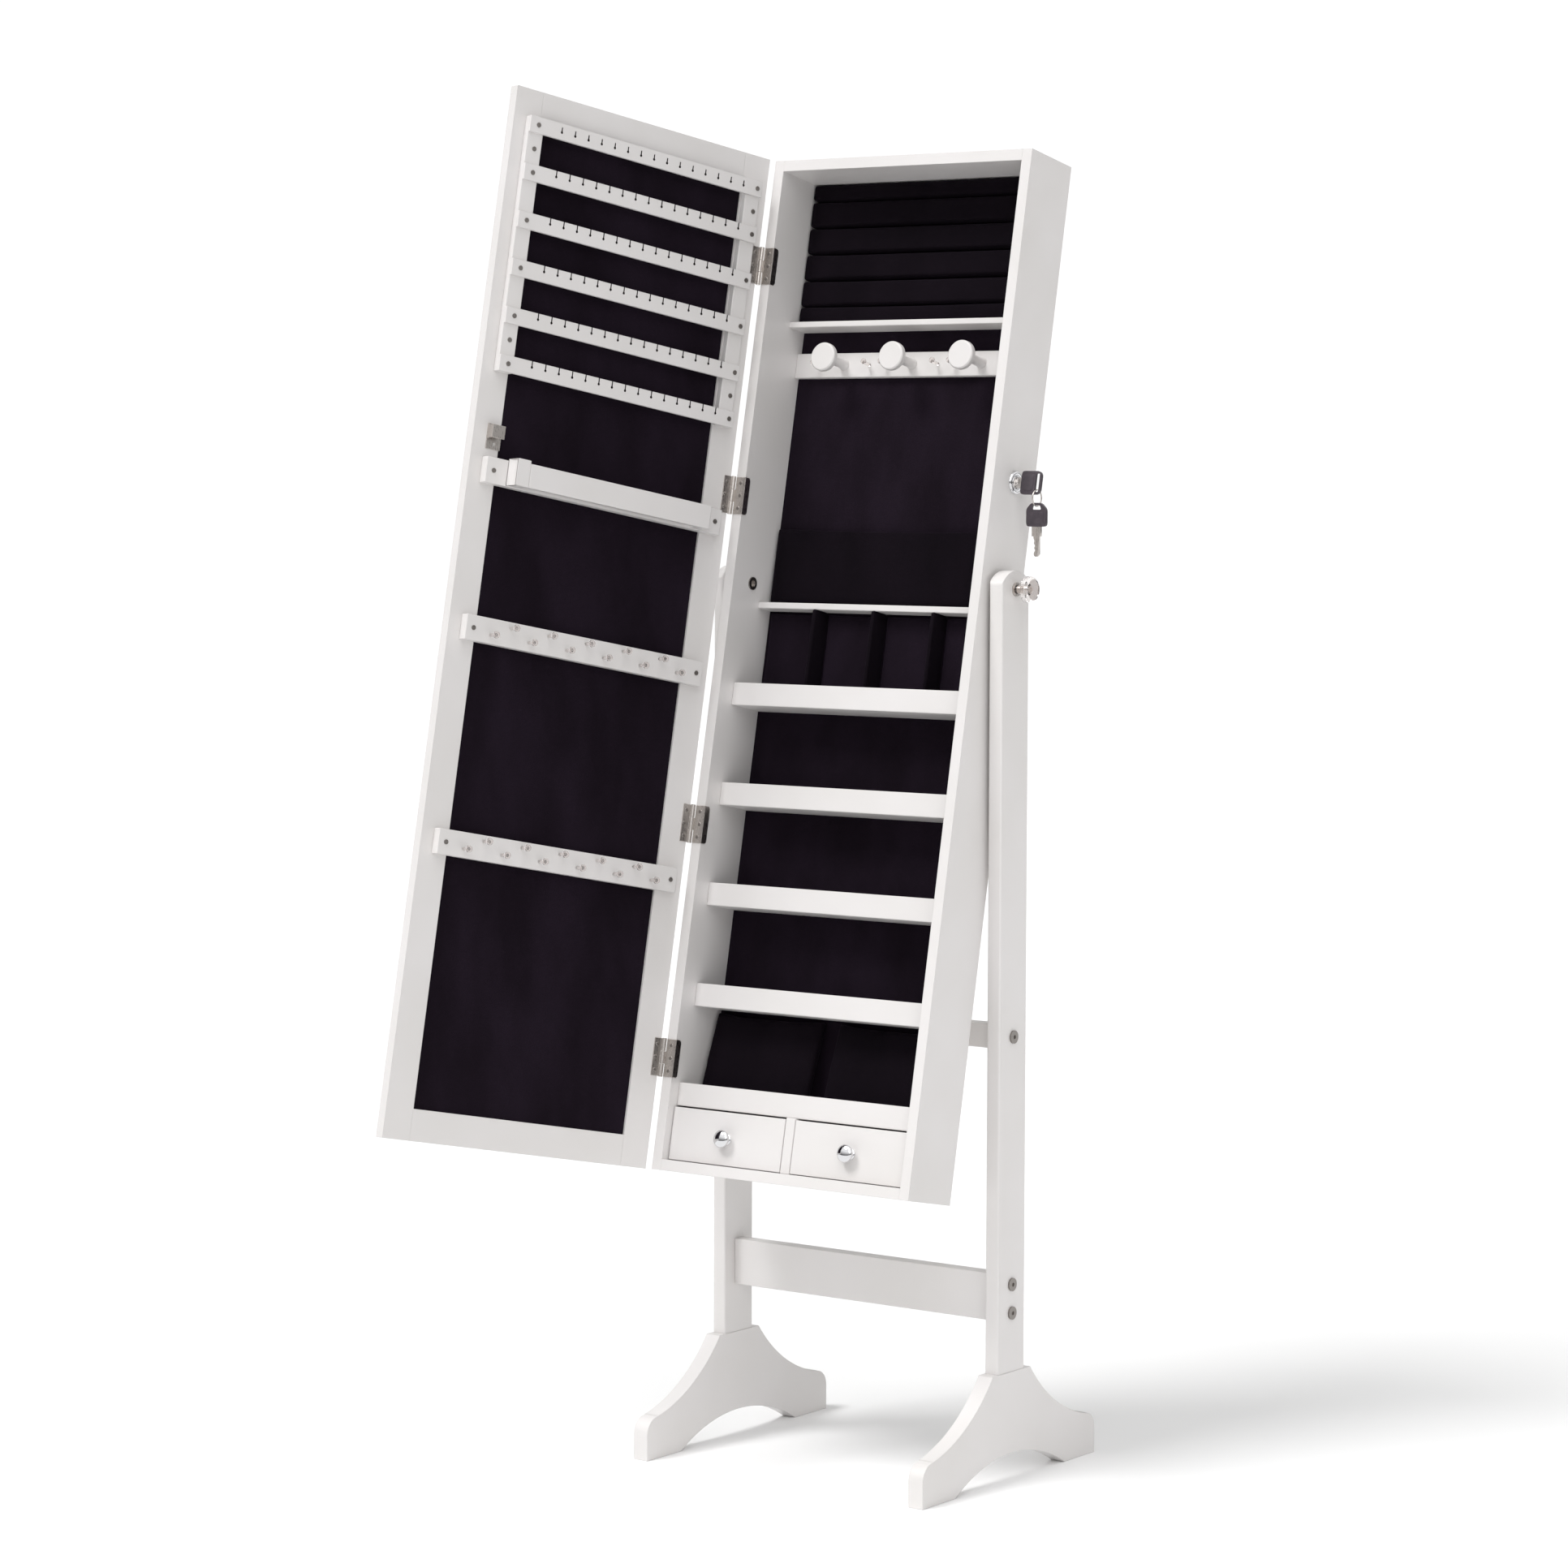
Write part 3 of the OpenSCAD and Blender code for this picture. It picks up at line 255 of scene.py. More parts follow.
# %% [markdown]
# The slits in the earring bars are narrow, and the shade inside them is painted: their walls get a
# dark brown in place of the white lacquer. The walls are the faces that look along the bar, away
# from the bar's two ends. Place and normal are taken on the piece's own coordinates, so that both
# turn with the door.

# %% Painted shade in the slits
SLITS_FROM, SLITS_TO = 30.0, 338.0      # every slit lies between these, the bars' ends outside
along_bar = door_place.to_3x3() @ Vector((1, 0, 0))

slit_shade_lacquer = lacquer("lacquer_with_painted_slit_shade", "#E4E1E0", "#E0DDDB", 3.5, 0.035)
tree = slit_shade_lacquer.node_tree
surface = tree.nodes["Principled BSDF"]
own = add(tree, "ShaderNodeTexCoord").outputs
reach = {}                              # how far a point, or its normal, reaches along the bar
for what in ("Normal", "Object"):
    reach[what] = add(tree, "ShaderNodeVectorMath", {"operation": "DOT_PRODUCT", 1: along_bar},
                      {0: own[what]}).outputs["Value"]
either_way = add(tree, "ShaderNodeMath", {"operation": "ABSOLUTE"}, {0: reach["Normal"]}).outputs[0]
start = (door_place @ Vector((0, 0, 0))).dot(along_bar)
slit_shade = None                         # 1 where a point passes all three tests, else 0
for value, test, limit in ((either_way, "GREATER_THAN", 0.5),
                           (reach["Object"], "GREATER_THAN", start + SLITS_FROM * MM),
                           (reach["Object"], "LESS_THAN", start + SLITS_TO * MM)):
    passed = add(tree, "ShaderNodeMath", {"operation": test, 1: limit}, {0: value}).outputs[0]
    if slit_shade:
        passed = add(tree, "ShaderNodeMath", {"operation": "MULTIPLY"},
                     {0: slit_shade, 1: passed}).outputs[0]
    slit_shade = passed
# painted shade: the slit walls get a dark brown that stands for the shade inside the narrow slits
painted = surface.inputs["Base Color"].links[0].from_socket
darkened = add(tree, "ShaderNodeMix", {"data_type": "RGBA", 7: linear("#2A2220")},
               {0: slit_shade, 6: painted}).outputs[2]
tree.links.new(darkened, surface.inputs["Base Color"])
print("length of bar with slits, mm:", SLITS_TO - SLITS_FROM)

# %% [markdown]
# ### Black velvet
# Velvet is short pile standing on a woven ground. Seen straight on it swallows light, and at a
# slant the pile glows, which the sheen of the shader gives. Hands and packing push the pile over in
# patches, so the colour drifts between two near-blacks with a hint of plum. The pile itself is
# 0.3 mm wide; it is drawn at 0.9 mm so that it still shows from across a room, and its colour is
# darkened where its bump is low, as painted shade in the hollows between the tufts.

# %% Velvet
def pile_cloth(name, dark, light, sheen):
    """Short-pile cloth between two near-blacks, with so much glow at a slant."""
    material, tree, surface = new_material(name, {
        "Roughness": 0.95, "Specular IOR Level": 0.08, "Sheen Weight": sheen, "Sheen Roughness": 0.45,
        "Sheen Tint": linear("#6E5F78")})
    pile = spots(tree, 0.9)
    nap = two_colours(tree, spots(tree, 70, stretch=(1, 1, 0.45), detail=4.0), dark, light)
    # painted shade: the colour is darkened by the pile noise that is also the bump's height, so the
    # hollows are darker
    shaded = add(tree, "ShaderNodeMix", {"data_type": "RGBA", "blend_type": "MULTIPLY", 0: 0.5},
                 {6: nap, 7: two_colours(tree, pile, "#B0B0B0", "#FFFFFF")}).outputs[2]
    tree.links.new(shaded, surface.inputs["Base Color"])
    dents(tree, surface, pile, 0.25, strength=0.6)
    return material


velvet = pile_cloth("black_cotton_velvet", "#160F17", "#201822", 0.3)
foam_velvet = pile_cloth("black_velvet_over_foam", "#0D080E", "#130D14", 0.12)

# %% [markdown]
# ### Metals, glass and plastics
# Hinges, screws and bolts are nickel plated and brushed, the knobs of the drawers and the lock are
# polished chrome, and the mirror is silvered on its back, so that it shows as a bright metal under
# a clear coat. The tilt knobs and the pegs are clear acrylic.

# %% Metals
def plated(name, colour, roughness, streak, streak_depth, swing=0.05):
    """Plated steel; streak is the spacing of the polishing marks in millimetres."""
    material, tree, surface = new_material(name, {"Base Color": linear(colour), "Metallic": 1.0})
    marks = spots(tree, streak, stretch=(1, 1, 0.12), detail=3.0)
    tree.links.new(between(tree, marks, roughness - swing, roughness + swing),
                   surface.inputs["Roughness"])
    dents(tree, surface, marks, streak_depth, strength=0.5, rounding=0.3)
    return material


nickel = plated("brushed_nickel_plate", "#C9C3BE", 0.30, 0.8, 0.002, 0.04)
screw_steel = plated("zinc_plated_steel", "#938E8A", 0.34, 0.7, 0.003, 0.04)
chrome = plated("polished_chrome_plate", "#DCDCDE", 0.09, 1.5, 0.002, 0.03)
silvering, tree, surface = new_material("silvered_float_glass", {
    "Base Color": linear("#EDF1F0"), "Metallic": 1.0, "Coat Weight": 1.0, "Coat Roughness": 0.01})
tree.links.new(between(tree, spots(tree, 180), 0.008, 0.03), surface.inputs["Roughness"])

# %% Plastics and the dowels' beech
acrylic, tree, surface = new_material("clear_cast_acrylic", {
    "Base Color": linear("#F1ECEA"), "IOR": 1.49, "Transmission Weight": 1.0})
tree.links.new(between(tree, spots(tree, 6), 0.07, 0.14), surface.inputs["Roughness"])

nylon, tree, surface = new_material("white_nylon", {
    "Roughness": 0.5, "IOR": 1.53, "Subsurface Weight": 0.1, "Subsurface Scale": 0.002})
tree.links.new(two_colours(tree, spots(tree, 12), "#EFEDE6", "#E6E3DA"), surface.inputs["Base Color"])
dents(tree, surface, spots(tree, 1.2), 0.03, rounding=0.4)

key_plastic, tree, surface = new_material("moulded_abs", {"IOR": 1.53})
tree.links.new(two_colours(tree, spots(tree, 5), "#453D44", "#3C353C"), surface.inputs["Base Color"])
tree.links.new(between(tree, spots(tree, 2), 0.30, 0.42), surface.inputs["Roughness"])
dents(tree, surface, spots(tree, 0.6), 0.03, strength=0.5)

beech, tree, surface = new_material("turned_beech", {"Roughness": 0.6})
grain = spots(tree, 1.5, stretch=(1, 1, 0.08), detail=4.0)
tree.links.new(two_colours(tree, grain, "#D8B98C", "#B98F5E"), surface.inputs["Base Color"])
dents(tree, surface, spots(tree, 0.8, stretch=(1, 1, 0.08)), 0.05)

# %% [markdown]
# ## The exact parts get their finishes
# Every part of the exact model keeps its mesh. Its material slots are filled by one table, which
# also says which board belongs to which finish.

# %% Finishes on the exact parts
FINISHES = {
    white_lacquer: """upright_left upright_right foot_left foot_right lower_stretcher upper_stretcher
        cabinet_side_left cabinet_side_right cabinet_top cabinet_bottom thin_shelves shelf_boards
        shelf_lips drawer_divider hook_rail round_knobs door_stiles door_rails rack_uprights
        bracelet_board bracelet_blocks bracelet_bar peg_rails drawer_left drawer_right""",
    slit_shade_lacquer: "rack_bars",
    board_back: "back_panel",
    velvet: """back_lining ring_cushion pocket compartment_dividers compartment_pads
        earring_cushions door_panel""",
    nickel: """tilt_stud_left tilt_stud_right tilt_washer_left tilt_washer_right
        cabinet_hinge_leaves door_hinge_leaves hinge_pins lock_cam key_ring strike""",
    screw_steel: "stand_bolts pivot_inserts fitting_screws",
    chrome: "drawer_pull_left drawer_pull_right lock_body lock_plug",
    acrylic: "tilt_knob_left tilt_knob_right chain_hooks pegs",
    silvering: "mirror_glass",
    nylon: "pivot_spacers",
    key_plastic: "key spare_key",
    beech: "foot_dowels",
}
for finish, names in FINISHES.items():
    for name in names.split():
        part = frame["nodes"][name]
        part.data.materials.clear()
        part.data.materials.append(finish)
print("finished parts:", sum(len(names.split()) for names in FINISHES.values()))


# %% [markdown]
# ## Boards with softened edges
# A sprayed board never has a knife edge. These boards stand alone, so each keeps its exact mesh and
# gets four live modifiers: a weld that joins its loose triangles, a planar decimate that makes
# whole faces of them, a small bevel, and weighted normals, which keep the faces flat to the eye.
# The frames of the cabinet and of the door are glued up and painted over, so their edges are only
# rounded in the light, or every joint would show as a groove.

# %% Rounded edges on the boards and fittings
EDGES = {
    1.0: """lower_stretcher upper_stretcher thin_shelves shelf_boards shelf_lips hook_rail
        drawer_divider""",
    0.8: """foot_left foot_right rack_uprights bracelet_board bracelet_blocks bracelet_bar peg_rails
        drawer_left drawer_right""",
    0.35: "rack_bars round_knobs cabinet_hinge_leaves door_hinge_leaves strike lock_cam",
}
SHARP = math.radians(35)
for width, names in EDGES.items():
    for name in names.split():
        part = frame["nodes"][name]
        part.modifiers.new("join", "WELD").merge_threshold = 0.002 * MM
        flats = part.modifiers.new("flats", "DECIMATE")
        flats.decimate_type, flats.angle_limit = "DISSOLVE", math.radians(1)
        bevel = part.modifiers.new("soft_edges", "BEVEL")
        bevel.width, bevel.segments = width * MM, 2
        bevel.limit_method, bevel.angle_limit = "ANGLE", SHARP
        bevel.use_clamp_overlap = width < 0.5
        part.modifiers.new("shade", "WEIGHTED_NORMAL").keep_sharp = True
print("softened parts:", sum(len(names.split()) for names in EDGES.values()))

# %% [markdown]
# ## Helpers for modelling
# New pieces are modelled straight, in millimetres from the tilt axis or from the hinge pins, and
# then leaned into place by a matrix that is applied, so that each object still sits at the origin.

# %% Blocks, placing and riding
def block(name, low, high):
    """A box from one corner to the other, in millimetres, in edit-ready state."""
    deselect()
    middle = [(a + b) / 2 * MM for a, b in zip(low, high)]
    bpy.ops.mesh.primitive_cube_add(size=1, location=middle)
    piece = bpy.context.object
    piece.name = piece.data.name = name
    piece.scale = [(b - a) * MM for a, b in zip(low, high)]
    bpy.ops.object.transform_apply(location=True, rotation=True, scale=True)
    return piece


def only(piece):
    """Makes this piece the selected and active one."""
    deselect()
    piece.select_set(True)
    bpy.context.view_layer.objects.active = piece


def finish_with(piece, kind, **settings):
    """Adds a modifier with its settings and applies it."""
    only(piece)
    modifier = piece.modifiers.new(kind.lower(), kind)
    for key, value in settings.items():
        setattr(modifier, key, value)
    bpy.ops.object.modifier_apply(modifier=modifier.name)


def put(piece, place, body, finish, angle=40):
    """Leans a straight piece into place, shades it, and lets it ride on its body."""
    only(piece)
    piece.matrix_world = place @ piece.matrix_world
    bpy.ops.object.transform_apply(location=True, rotation=True, scale=True)
    bpy.ops.object.shade_smooth_by_angle(angle=math.radians(angle))
    piece.data.materials.clear()
    piece.data.materials.append(finish)
    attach(piece, body)
    return piece


def copy_of(piece, name, move=(0, 0, 0)):
    """A copy with its own mesh, moved by so many millimetres."""
    twin = piece.copy()
    twin.data = piece.data.copy()
    twin.name = twin.data.name = name
    bpy.context.scene.collection.objects.link(twin)
    only(twin)
    twin.location = [x * MM for x in move]
    bpy.ops.object.transform_apply(location=True, rotation=True, scale=True)
    return twin


def joined(name, pieces):
    """Several pieces made into one object."""
    only(pieces[0])
    for piece in pieces[1:]:
        piece.select_set(True)
    bpy.ops.object.join()
    result = bpy.context.object
    result.name = result.data.name = name
    return result


# %% [markdown]
# ## Stuffed velvet
# The ring panel, the pads and the slanted earring boards are foam wrapped in velvet: crowned in the
# middle, with sides that pull in between the corners, and flat where they are glued down. A block
# is remeshed into small quads and blown up a little by the cloth solver, with no gravity. No point
# may move further than a cap, and nothing may pass the plane that the back is glued to.

# %% Stuffing a block
CLOTH_STEPS = 20
STARTS_INSIDE = 0.55      # how much of the cap a block is smaller by before it is blown up


def stuffed(name, low, high, voxel, cap, pressure=4.0):
    """A foam pad in velvet, all sizes in millimetres; its back lies in the plane of high[1]."""
    inset = cap * STARTS_INSIDE
    pad = block(name, [edge + inset for edge in low],
                [high[0] - inset, high[1], high[2] - inset])
    finish_with(pad, "REMESH", mode="VOXEL", voxel_size=voxel * MM)
    start = [v.co.copy() for v in pad.data.vertices]
    only(pad)
    cloth = pad.modifiers.new("cloth", "CLOTH")
    cloth.settings.use_pressure = True
    cloth.settings.uniform_pressure_force = pressure
    cloth.settings.effector_weights.gravity = 0
    cloth.settings.quality = 5
    cloth.collision_settings.use_self_collision = False
    for step in range(1, CLOTH_STEPS + 1):
        bpy.context.scene.frame_set(step)
    bpy.ops.object.modifier_apply(modifier="cloth")
    bpy.context.scene.frame_set(1)
    for vertex, first in zip(pad.data.vertices, start):
        move = vertex.co - first
        if move.length > cap * MM:
            move *= cap * MM / move.length
        vertex.co = first + move
        for axis in range(3):
            vertex.co[axis] = min(max(vertex.co[axis], low[axis] * MM), high[axis] * MM)
    finish_with(pad, "SMOOTH", factor=0.5, iterations=2)
    finish_with(pad, "SUBSURF", levels=1, render_levels=1)
    return pad


# %% [markdown]
# The inside of the cabinet is measured once, in millimetres from the tilt axis, and everything that
# is laid or glued in it starts from these lines.

# %% Lines of the cabinet
INSIDE = 168.5            # half the width inside the cabinet
LINING = 41.5             # the velvet's face on the back, behind the tilt axis
CABINET_FRONT = -37.5     # the front edges of its boards
TOP_INSIDE = 489.0        # underside of the cabinet's top
FLOOR_INSIDE = -685.0     # top of its bottom board
SHELVES_FROM, SHELF_STEP = -147.0, 118.8    # the shelves' undersides lie this far apart, downwards
SHELF_THICK = 8.0
DRAWER_OPENING, DIVIDER = 64.0, 13.0        # height of the drawers' opening, board between them
DRAWER_GAP, GAP_ABOVE = 0.8, 1.8            # round a drawer, and over it
print("inside width, mm:", 2 * INSIDE)

# %% [markdown]
# ### The ring panel
# Rings stand in slits between soft rolls. One roll is stuffed once and copied at the roll's
# spacing, and a shorter roll ends the panel at its top and at its bottom.

# %% Ring rolls
PANEL_TOP, PANEL_HEIGHT, ROLL_DEPTH, ROLL_SWELL = TOP_INSIDE, 170.5, 17.0, 1.1
FULL_ROLLS, SHORT_ROLL = 4, 0.65
roll_height = PANEL_HEIGHT / (FULL_ROLLS + 2 * SHORT_ROLL)
first_slit = PANEL_TOP - PANEL_HEIGHT + SHORT_ROLL * roll_height
front_of_rolls = LINING - ROLL_DEPTH


def roll(name, bottom, top):
    """One soft roll across the cabinet."""
    return stuffed(name, (-INSIDE, front_of_rolls, bottom), (INSIDE, LINING, top), 2.8, ROLL_SWELL)


middle_roll = roll("roll", first_slit, first_slit + roll_height)
rolls = [roll("roll_low", PANEL_TOP - PANEL_HEIGHT, first_slit),
         roll("roll_high", first_slit + FULL_ROLLS * roll_height, PANEL_TOP), middle_roll]
rolls += [copy_of(middle_roll, "roll_%d" % k, (0, 0, k * roll_height)) for k in range(1, FULL_ROLLS)]
ring_rolls = put(joined("ring_rolls", rolls), cabinet_place, "cabinet", foam_velvet, 60)
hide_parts("ring_cushion")
print("ring rolls, faces:", len(ring_rolls.data.polygons))

# %% [markdown]
# ### Pads of the four compartments
# Each compartment has a thin pad on its back wall, so that earrings and watches lie on something soft.

# %% Compartment pads
ROW_LOW, ROW_HIGH, PAD_THICK = -139.0, -26.5, 6.0
BESIDE_PAD, OVER_PAD = 3.5, 1        # the room left round a pad
bay = 2 * INSIDE / 4
pad = stuffed("compartment_pad_1", (-2 * bay + BESIDE_PAD, LINING - PAD_THICK, ROW_LOW + OVER_PAD),
              (-bay - BESIDE_PAD, LINING, ROW_HIGH - OVER_PAD), 2.5, 2.2)
pads = [pad] + [copy_of(pad, "compartment_pad_%d" % (k + 1), (k * bay, 0, 0)) for k in (1, 2, 3)]
for pad in pads:
    put(pad, cabinet_place, "cabinet", velvet, 60)
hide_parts("compartment_pads")

# %% [markdown]
# ### Slanted earring cushions
# Two foam boards lean back side by side above the drawers. Each is stuffed upright, with its back at
# the hinge line of its top edge, and then turned about that edge.

# %% Earring cushions
CUSHION_GAP, CUSHION_THICK = 16.0, 12.0
cushion_top = SHELVES_FROM - 3 * SHELF_STEP
cushion_bottom = FLOOR_INSIDE + DRAWER_OPENING + SHELF_THICK
cushion_rise = cushion_top - cushion_bottom - 4
cushion_stand = 18.6                  # how far its foot stands out from the back
slant = math.atan(cushion_stand / cushion_rise)
cushion_length = math.hypot(cushion_stand, cushion_rise)
cushion_width = (2 * INSIDE - CUSHION_GAP) / 2 - 0.5
right = stuffed("earring_cushion_right", (0, -CUSHION_THICK, -cushion_length),
                (cushion_width, 0, 0), 3.0, 3.5)
left = copy_of(right, "earring_cushion_left", (-cushion_width - CUSHION_GAP, 0, 0))
hang = (Matrix.Translation(Vector((CUSHION_GAP / 2, LINING - 0.3, cushion_top - 2.4)) * MM)
        @ Matrix.Rotation(-slant, 4, "X"))
for cushion in (left, right):
    put(cushion, cabinet_place @ hang, "cabinet", foam_velvet, 60)
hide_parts("earring_cushions")

# %% [markdown]
# ## Stretched velvet
# The back of the cabinet and the panel of the door are lined with sheets of velvet glued over board.
# Glued cloth isn't perfectly flat: it keeps shallow waves a finger's width apart. Each sheet is a
# fine grid with such waves, thickened to the cloth's own thickness.

# %% A sheet glued on a board
def waves(x, z):
    """Shallow waves of glued cloth, from 0 to 1, at a place in millimetres."""
    return 0.5 + 0.25 * math.sin(x / 31 + 1.3 * math.sin(z / 97)) + 0.25 * math.sin(z / 143 + x / 53)


def glued_sheet(name, size, middle, depth, thick):
    """A sheet that faces -Y at depth; its size and middle are across and up, in millimetres."""
    deselect()
    across, up = [max(8, round(side / 7)) for side in size]
    bpy.ops.mesh.primitive_grid_add(x_subdivisions=across, y_subdivisions=up, size=1)
    sheet = bpy.context.object
    sheet.name = sheet.data.name = name
    sheet.scale = (size[0] * MM, size[1] * MM, 1)
    sheet.rotation_euler = (math.pi / 2, 0, 0)
    sheet.location = (middle[0] * MM, depth * MM, middle[1] * MM)
    bpy.ops.object.transform_apply(location=True, rotation=True, scale=True)
    for vertex in sheet.data.vertices:
        vertex.co.y += 0.35 * MM * waves(vertex.co.x / MM, vertex.co.z / MM)
    finish_with(sheet, "SOLIDIFY", thickness=thick * MM, offset=-1)
    return sheet


RAIL_LOW = FLOOR_INSIDE + DRAWER_OPENING      # underside of the rail above the drawers
lining = glued_sheet("back_lining_velvet", (2 * INSIDE - 0.4, TOP_INSIDE - RAIL_LOW - 0.4),
                     (0, (TOP_INSIDE + RAIL_LOW) / 2), LINING, 0.8)
put(lining, cabinet_place, "cabinet", velvet, 60)
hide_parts("back_lining")
print("back lining, faces:", len(lining.data.polygons))

# %% [markdown]
# The door's panel sits a few millimetres below the frame around it, and its velvet fills the recess
# from edge to edge.

# %% The door's velvet
OPEN_ACROSS, OPEN_UP = (39.3, 328.9), (-662.5, 466.5)   # the opening in the door's frame
PANEL_FACE = -5.0                                        # the panel's face, from the hinge pins
door_size = (OPEN_ACROSS[1] - OPEN_ACROSS[0] - 0.4, OPEN_UP[1] - OPEN_UP[0] - 0.4)
door_velvet = glued_sheet("door_velvet", door_size, (-sum(OPEN_ACROSS) / 2, sum(OPEN_UP) / 2),
                          -PANEL_FACE - 0.9, 0.5)
half_turn = Matrix.Rotation(math.pi, 4, "Z")
put(door_velvet, door_place @ half_turn, "door", velvet, 60)
print("door velvet, faces:", len(door_velvet.data.polygons))

# %% [markdown]
# ### The pocket
# The pocket is velvet over thin card. Its front bellies out a little, its sides curl back to the
# lining, its bottom tucks under, and the top edge is a rolled hem that sags between the sides. The
# front is a grid that is bent in code, and the hem is its top row rolled over.

# %% Pocket
POCKET_LOW, POCKET_TOP, POCKET_OUT = -19.0, 72.0, 10.2
POCKET_COLUMNS, POCKET_ROWS = 90, 30
pocket_height = POCKET_TOP - POCKET_LOW


def pocket_shape(across, up):
    """Where the front's point goes; across runs from -1 to 1 and up from 0 to 1."""
    side = min(1.0, (1 - abs(across)) * INSIDE / 9)
    curl = math.sqrt(max(0.0, 1 - (1 - side) ** 2))
    foot = min(1.0, up * pocket_height / 7)
    tuck = math.sqrt(max(0.0, 1 - (1 - foot) ** 2))
    belly = 1.1 * (1 - across ** 2) * (1 - up) * up * 4
    sag = 2.2 * (1 - across ** 2) * up ** 2
    ripple = 0.25 * math.sin(across * 17 + 2 * up) * up
    edges = POCKET_OUT * (0.12 + 0.88 * min(curl, 0.3 + 0.7 * tuck))
    out = (edges + (belly + ripple) * curl * tuck) * 0.93
    return Vector((across * (INSIDE - 0.7), LINING - out,
                   POCKET_LOW + 0.7 + up * (pocket_height - 1.6) - sag))


deselect()
bpy.ops.mesh.primitive_grid_add(x_subdivisions=POCKET_COLUMNS, y_subdivisions=POCKET_ROWS, size=2)
pocket = bpy.context.object
pocket.name = pocket.data.name = "velvet_pocket"
for vertex in pocket.data.vertices:
    vertex.co = pocket_shape(vertex.co.x, (vertex.co.y + 1) / 2) * MM
only(pocket)
bpy.ops.object.mode_set(mode="EDIT")
bpy.ops.mesh.select_all(action="DESELECT")
bpy.ops.mesh.select_mode(type="VERT")
bpy.ops.object.mode_set(mode="OBJECT")
for vertex in list(pocket.data.vertices)[-(POCKET_COLUMNS + 1):]:
    vertex.select = True
HEM = ((0, 1.0, 0.5), (0, 0.9, -0.5), (0, 0.1, -2.6))      # the steps that roll the top row over
bpy.ops.object.mode_set(mode="EDIT")
for step in HEM:
    bpy.ops.mesh.extrude_region_move(TRANSFORM_OT_translate={"value": [x * MM for x in step]})
bpy.ops.object.mode_set(mode="OBJECT")
finish_with(pocket, "SOLIDIFY", thickness=0.7 * MM, offset=0)
finish_with(pocket, "SUBSURF", levels=1, render_levels=1)
put(pocket, cabinet_place, "cabinet", foam_velvet, 60)
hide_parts("pocket")
print("pocket, faces:", len(pocket.data.polygons))

# %% [markdown]
# ### Wrapped dividers and liners
# The dividers of the compartments are card wrapped in velvet, so their edges are round. The shelves
# behind the lips and the floors of the drawers are lined with a loose-cut piece of the same velvet.

# %% Compartment dividers
def wrapped(name, low, high, rounding):
    """Card wrapped in velvet: a block whose edges are rounded by so many millimetres."""
    piece = block(name, low, high)
    finish_with(piece, "BEVEL", width=rounding * MM, segments=3)
    return piece


DIVIDER_FRONT, DIVIDER_HALF = 14.5, 2.5
first = wrapped("divider_1", (-bay - DIVIDER_HALF, DIVIDER_FRONT, ROW_LOW + 0.1),
                (-bay + DIVIDER_HALF, LINING, ROW_HIGH - 0.1), 1.6)
dividers = [first] + [copy_of(first, "divider_%d" % (k + 1), (k * bay, 0, 0)) for k in (1, 2)]
dividers = put(joined("wrapped_dividers", dividers), cabinet_place, "cabinet", foam_velvet, 60)
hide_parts("compartment_dividers")


# %% Liners of the shelves and drawers
def liner(name, low, high, body, place=cabinet_place):
    """A flat piece of velvet that lies on a board; low and high give its corners across and deep."""
    size = [b - a for a, b in zip(low, high)]
    deselect()
    bpy.ops.mesh.primitive_grid_add(x_subdivisions=round(size[0] / 9),
                                    y_subdivisions=round(size[1] / 9), size=1)
    sheet = bpy.context.object
    sheet.name = sheet.data.name = name
    sheet.scale = (size[0] * MM, size[1] * MM, 1)
    sheet.location = [(a + b) / 2 * MM for a, b in zip(low, high)]
    bpy.ops.object.transform_apply(location=True, rotation=True, scale=True)
    for vertex in sheet.data.vertices:
        vertex.co.z += 0.3 * MM * waves(vertex.co.x / MM, vertex.co.y * 2 / MM)
    finish_with(sheet, "SOLIDIFY", thickness=0.5 * MM, offset=1)
    put(sheet, place, body, velvet, 60)
    return sheet


BEHIND_LIP, LIES_OVER = -2.8, 0.1
for k in range(1, 4):
    level = SHELVES_FROM - k * SHELF_STEP + SHELF_THICK + LIES_OVER
    liner("shelf_liner_%d" % k, (-INSIDE + 0.5, BEHIND_LIP, level), (INSIDE - 0.5, LINING - 0.2, level),
          "cabinet")
DRAWER_BOTTOM = 4.0                                         # the thickness of a drawer's floor
DRAWER_ACROSS, DRAWER_DEEP = (13.3, 161.1), (-16.0, 35.0)   # between its inner walls
floor_level = FLOOR_INSIDE + DRAWER_GAP + DRAWER_BOTTOM + LIES_OVER
near, far = DRAWER_ACROSS
for side, across in (("left", (-far, -near)), ("right", (near, far))):
    liner("drawer_liner_%s" % side, (across[0] + 0.6, DRAWER_DEEP[0], floor_level),
          (across[1] - 0.6, DRAWER_DEEP[1], floor_level),
          side + "_drawer")
